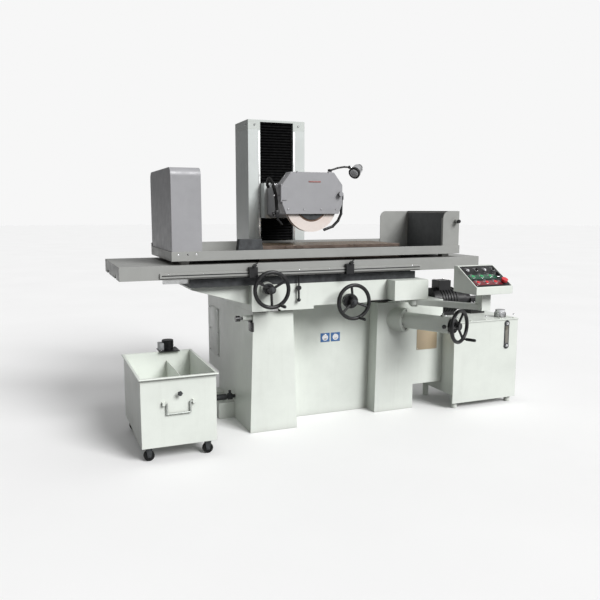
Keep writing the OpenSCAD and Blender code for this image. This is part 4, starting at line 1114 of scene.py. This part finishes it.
SUN_FROM = Vector((0.34, -0.73, 0.57))
SUN_POWER, SUN_ANGLE = 3.2, math.radians(28)
BACKDROP = 0.93
SKY_BELOW, SKY_ABOVE = 0.14, 0.58
SKY_LEFT, SKY_RIGHT = 0.45, 1.1


def make_floor():
    """A plain pale disc that takes the shadow and throws no light back on the machine."""
    paint = Finish("floor_paint", (0.80, 0.80, 0.80), 0.75)
    patches = paint.ramp(paint.noise(0.8, 3), 0.3, 0.7)
    paint.colour(paint.mix(patches, (0.885, 0.885, 0.885), (0.91, 0.91, 0.91)))
    mesh = bpy.data.meshes.new("floor")
    shape = bmesh.new()
    bmesh.ops.create_circle(shape, cap_ends=True, segments=64, radius=60)
    shape.to_mesh(mesh)
    shape.free()
    mesh.materials.append(paint.material)
    floor = bpy.data.objects.new("floor", mesh)
    floor.location.z = -0.001
    floor.visible_diffuse = False
    bpy.context.collection.objects.link(floor)


def make_sun():
    """One soft sun from the front right."""
    sun = bpy.data.lights.new("sun", "SUN")
    sun.energy = SUN_POWER
    sun.angle = SUN_ANGLE
    lamp = bpy.data.objects.new("sun", sun)
    lamp.rotation_euler = SUN_FROM.to_track_quat("Z", "Y").to_euler()
    bpy.context.collection.objects.link(lamp)


def make_sky():
    """A pale backdrop; the machine itself is lit by greys, darker below and on the left."""
    world = bpy.data.worlds.new("studio")
    world.use_nodes = True
    bpy.context.scene.world = world
    tree = world.node_tree
    path = tree.nodes.new("ShaderNodeLightPath")
    place = tree.nodes.new("ShaderNodeTexCoord")
    parts = tree.nodes.new("ShaderNodeSeparateXYZ")
    tree.links.new(place.outputs["Generated"], parts.inputs[0])

    def gradient(axis, start, end, low, high):
        made = tree.nodes.new("ShaderNodeMapRange")
        limits = {"From Min": start, "From Max": end, "To Min": low, "To Max": high}
        for name, number in limits.items():
            made.inputs[name].default_value = number
        tree.links.new(parts.outputs[axis], made.inputs["Value"])
        return made.outputs["Result"]

    both = tree.nodes.new("ShaderNodeMath")
    both.operation = "MULTIPLY"
    tree.links.new(gradient("Z", -0.3, 0.6, SKY_BELOW, SKY_ABOVE), both.inputs[0])
    tree.links.new(gradient("X", -0.9, 0.5, SKY_LEFT, SKY_RIGHT), both.inputs[1])
    choose = tree.nodes.new("ShaderNodeMix")
    choose.data_type = "FLOAT"
    choose.inputs[3].default_value = BACKDROP
    tree.links.new(path.outputs["Is Camera Ray"], choose.inputs[0])
    tree.links.new(both.outputs[0], choose.inputs[2])
    tree.links.new(choose.outputs[0], tree.nodes["Background"].inputs["Color"])
    bpy.context.scene.view_settings.view_transform = "Standard"


make_bellows()
make_column_details()
make_base_details()
make_elevating_details()
wheel_fittings("table_handwheel", "table_handwheel", mm(-377, -640, 925), 0.0335, -0.708)
wheel_fittings("cross_handwheel", "cross_feed", mm(171, -640, 824), 0.0475, -0.7085)
make_chuck_details()
make_guard_details()
make_table_details()
make_dog_details()
make_head_details()
make_lamp_details()
make_pendant_details()
make_oil_unit_details()
make_coolant_tank_details()
make_floor()
make_sun()
make_sky()
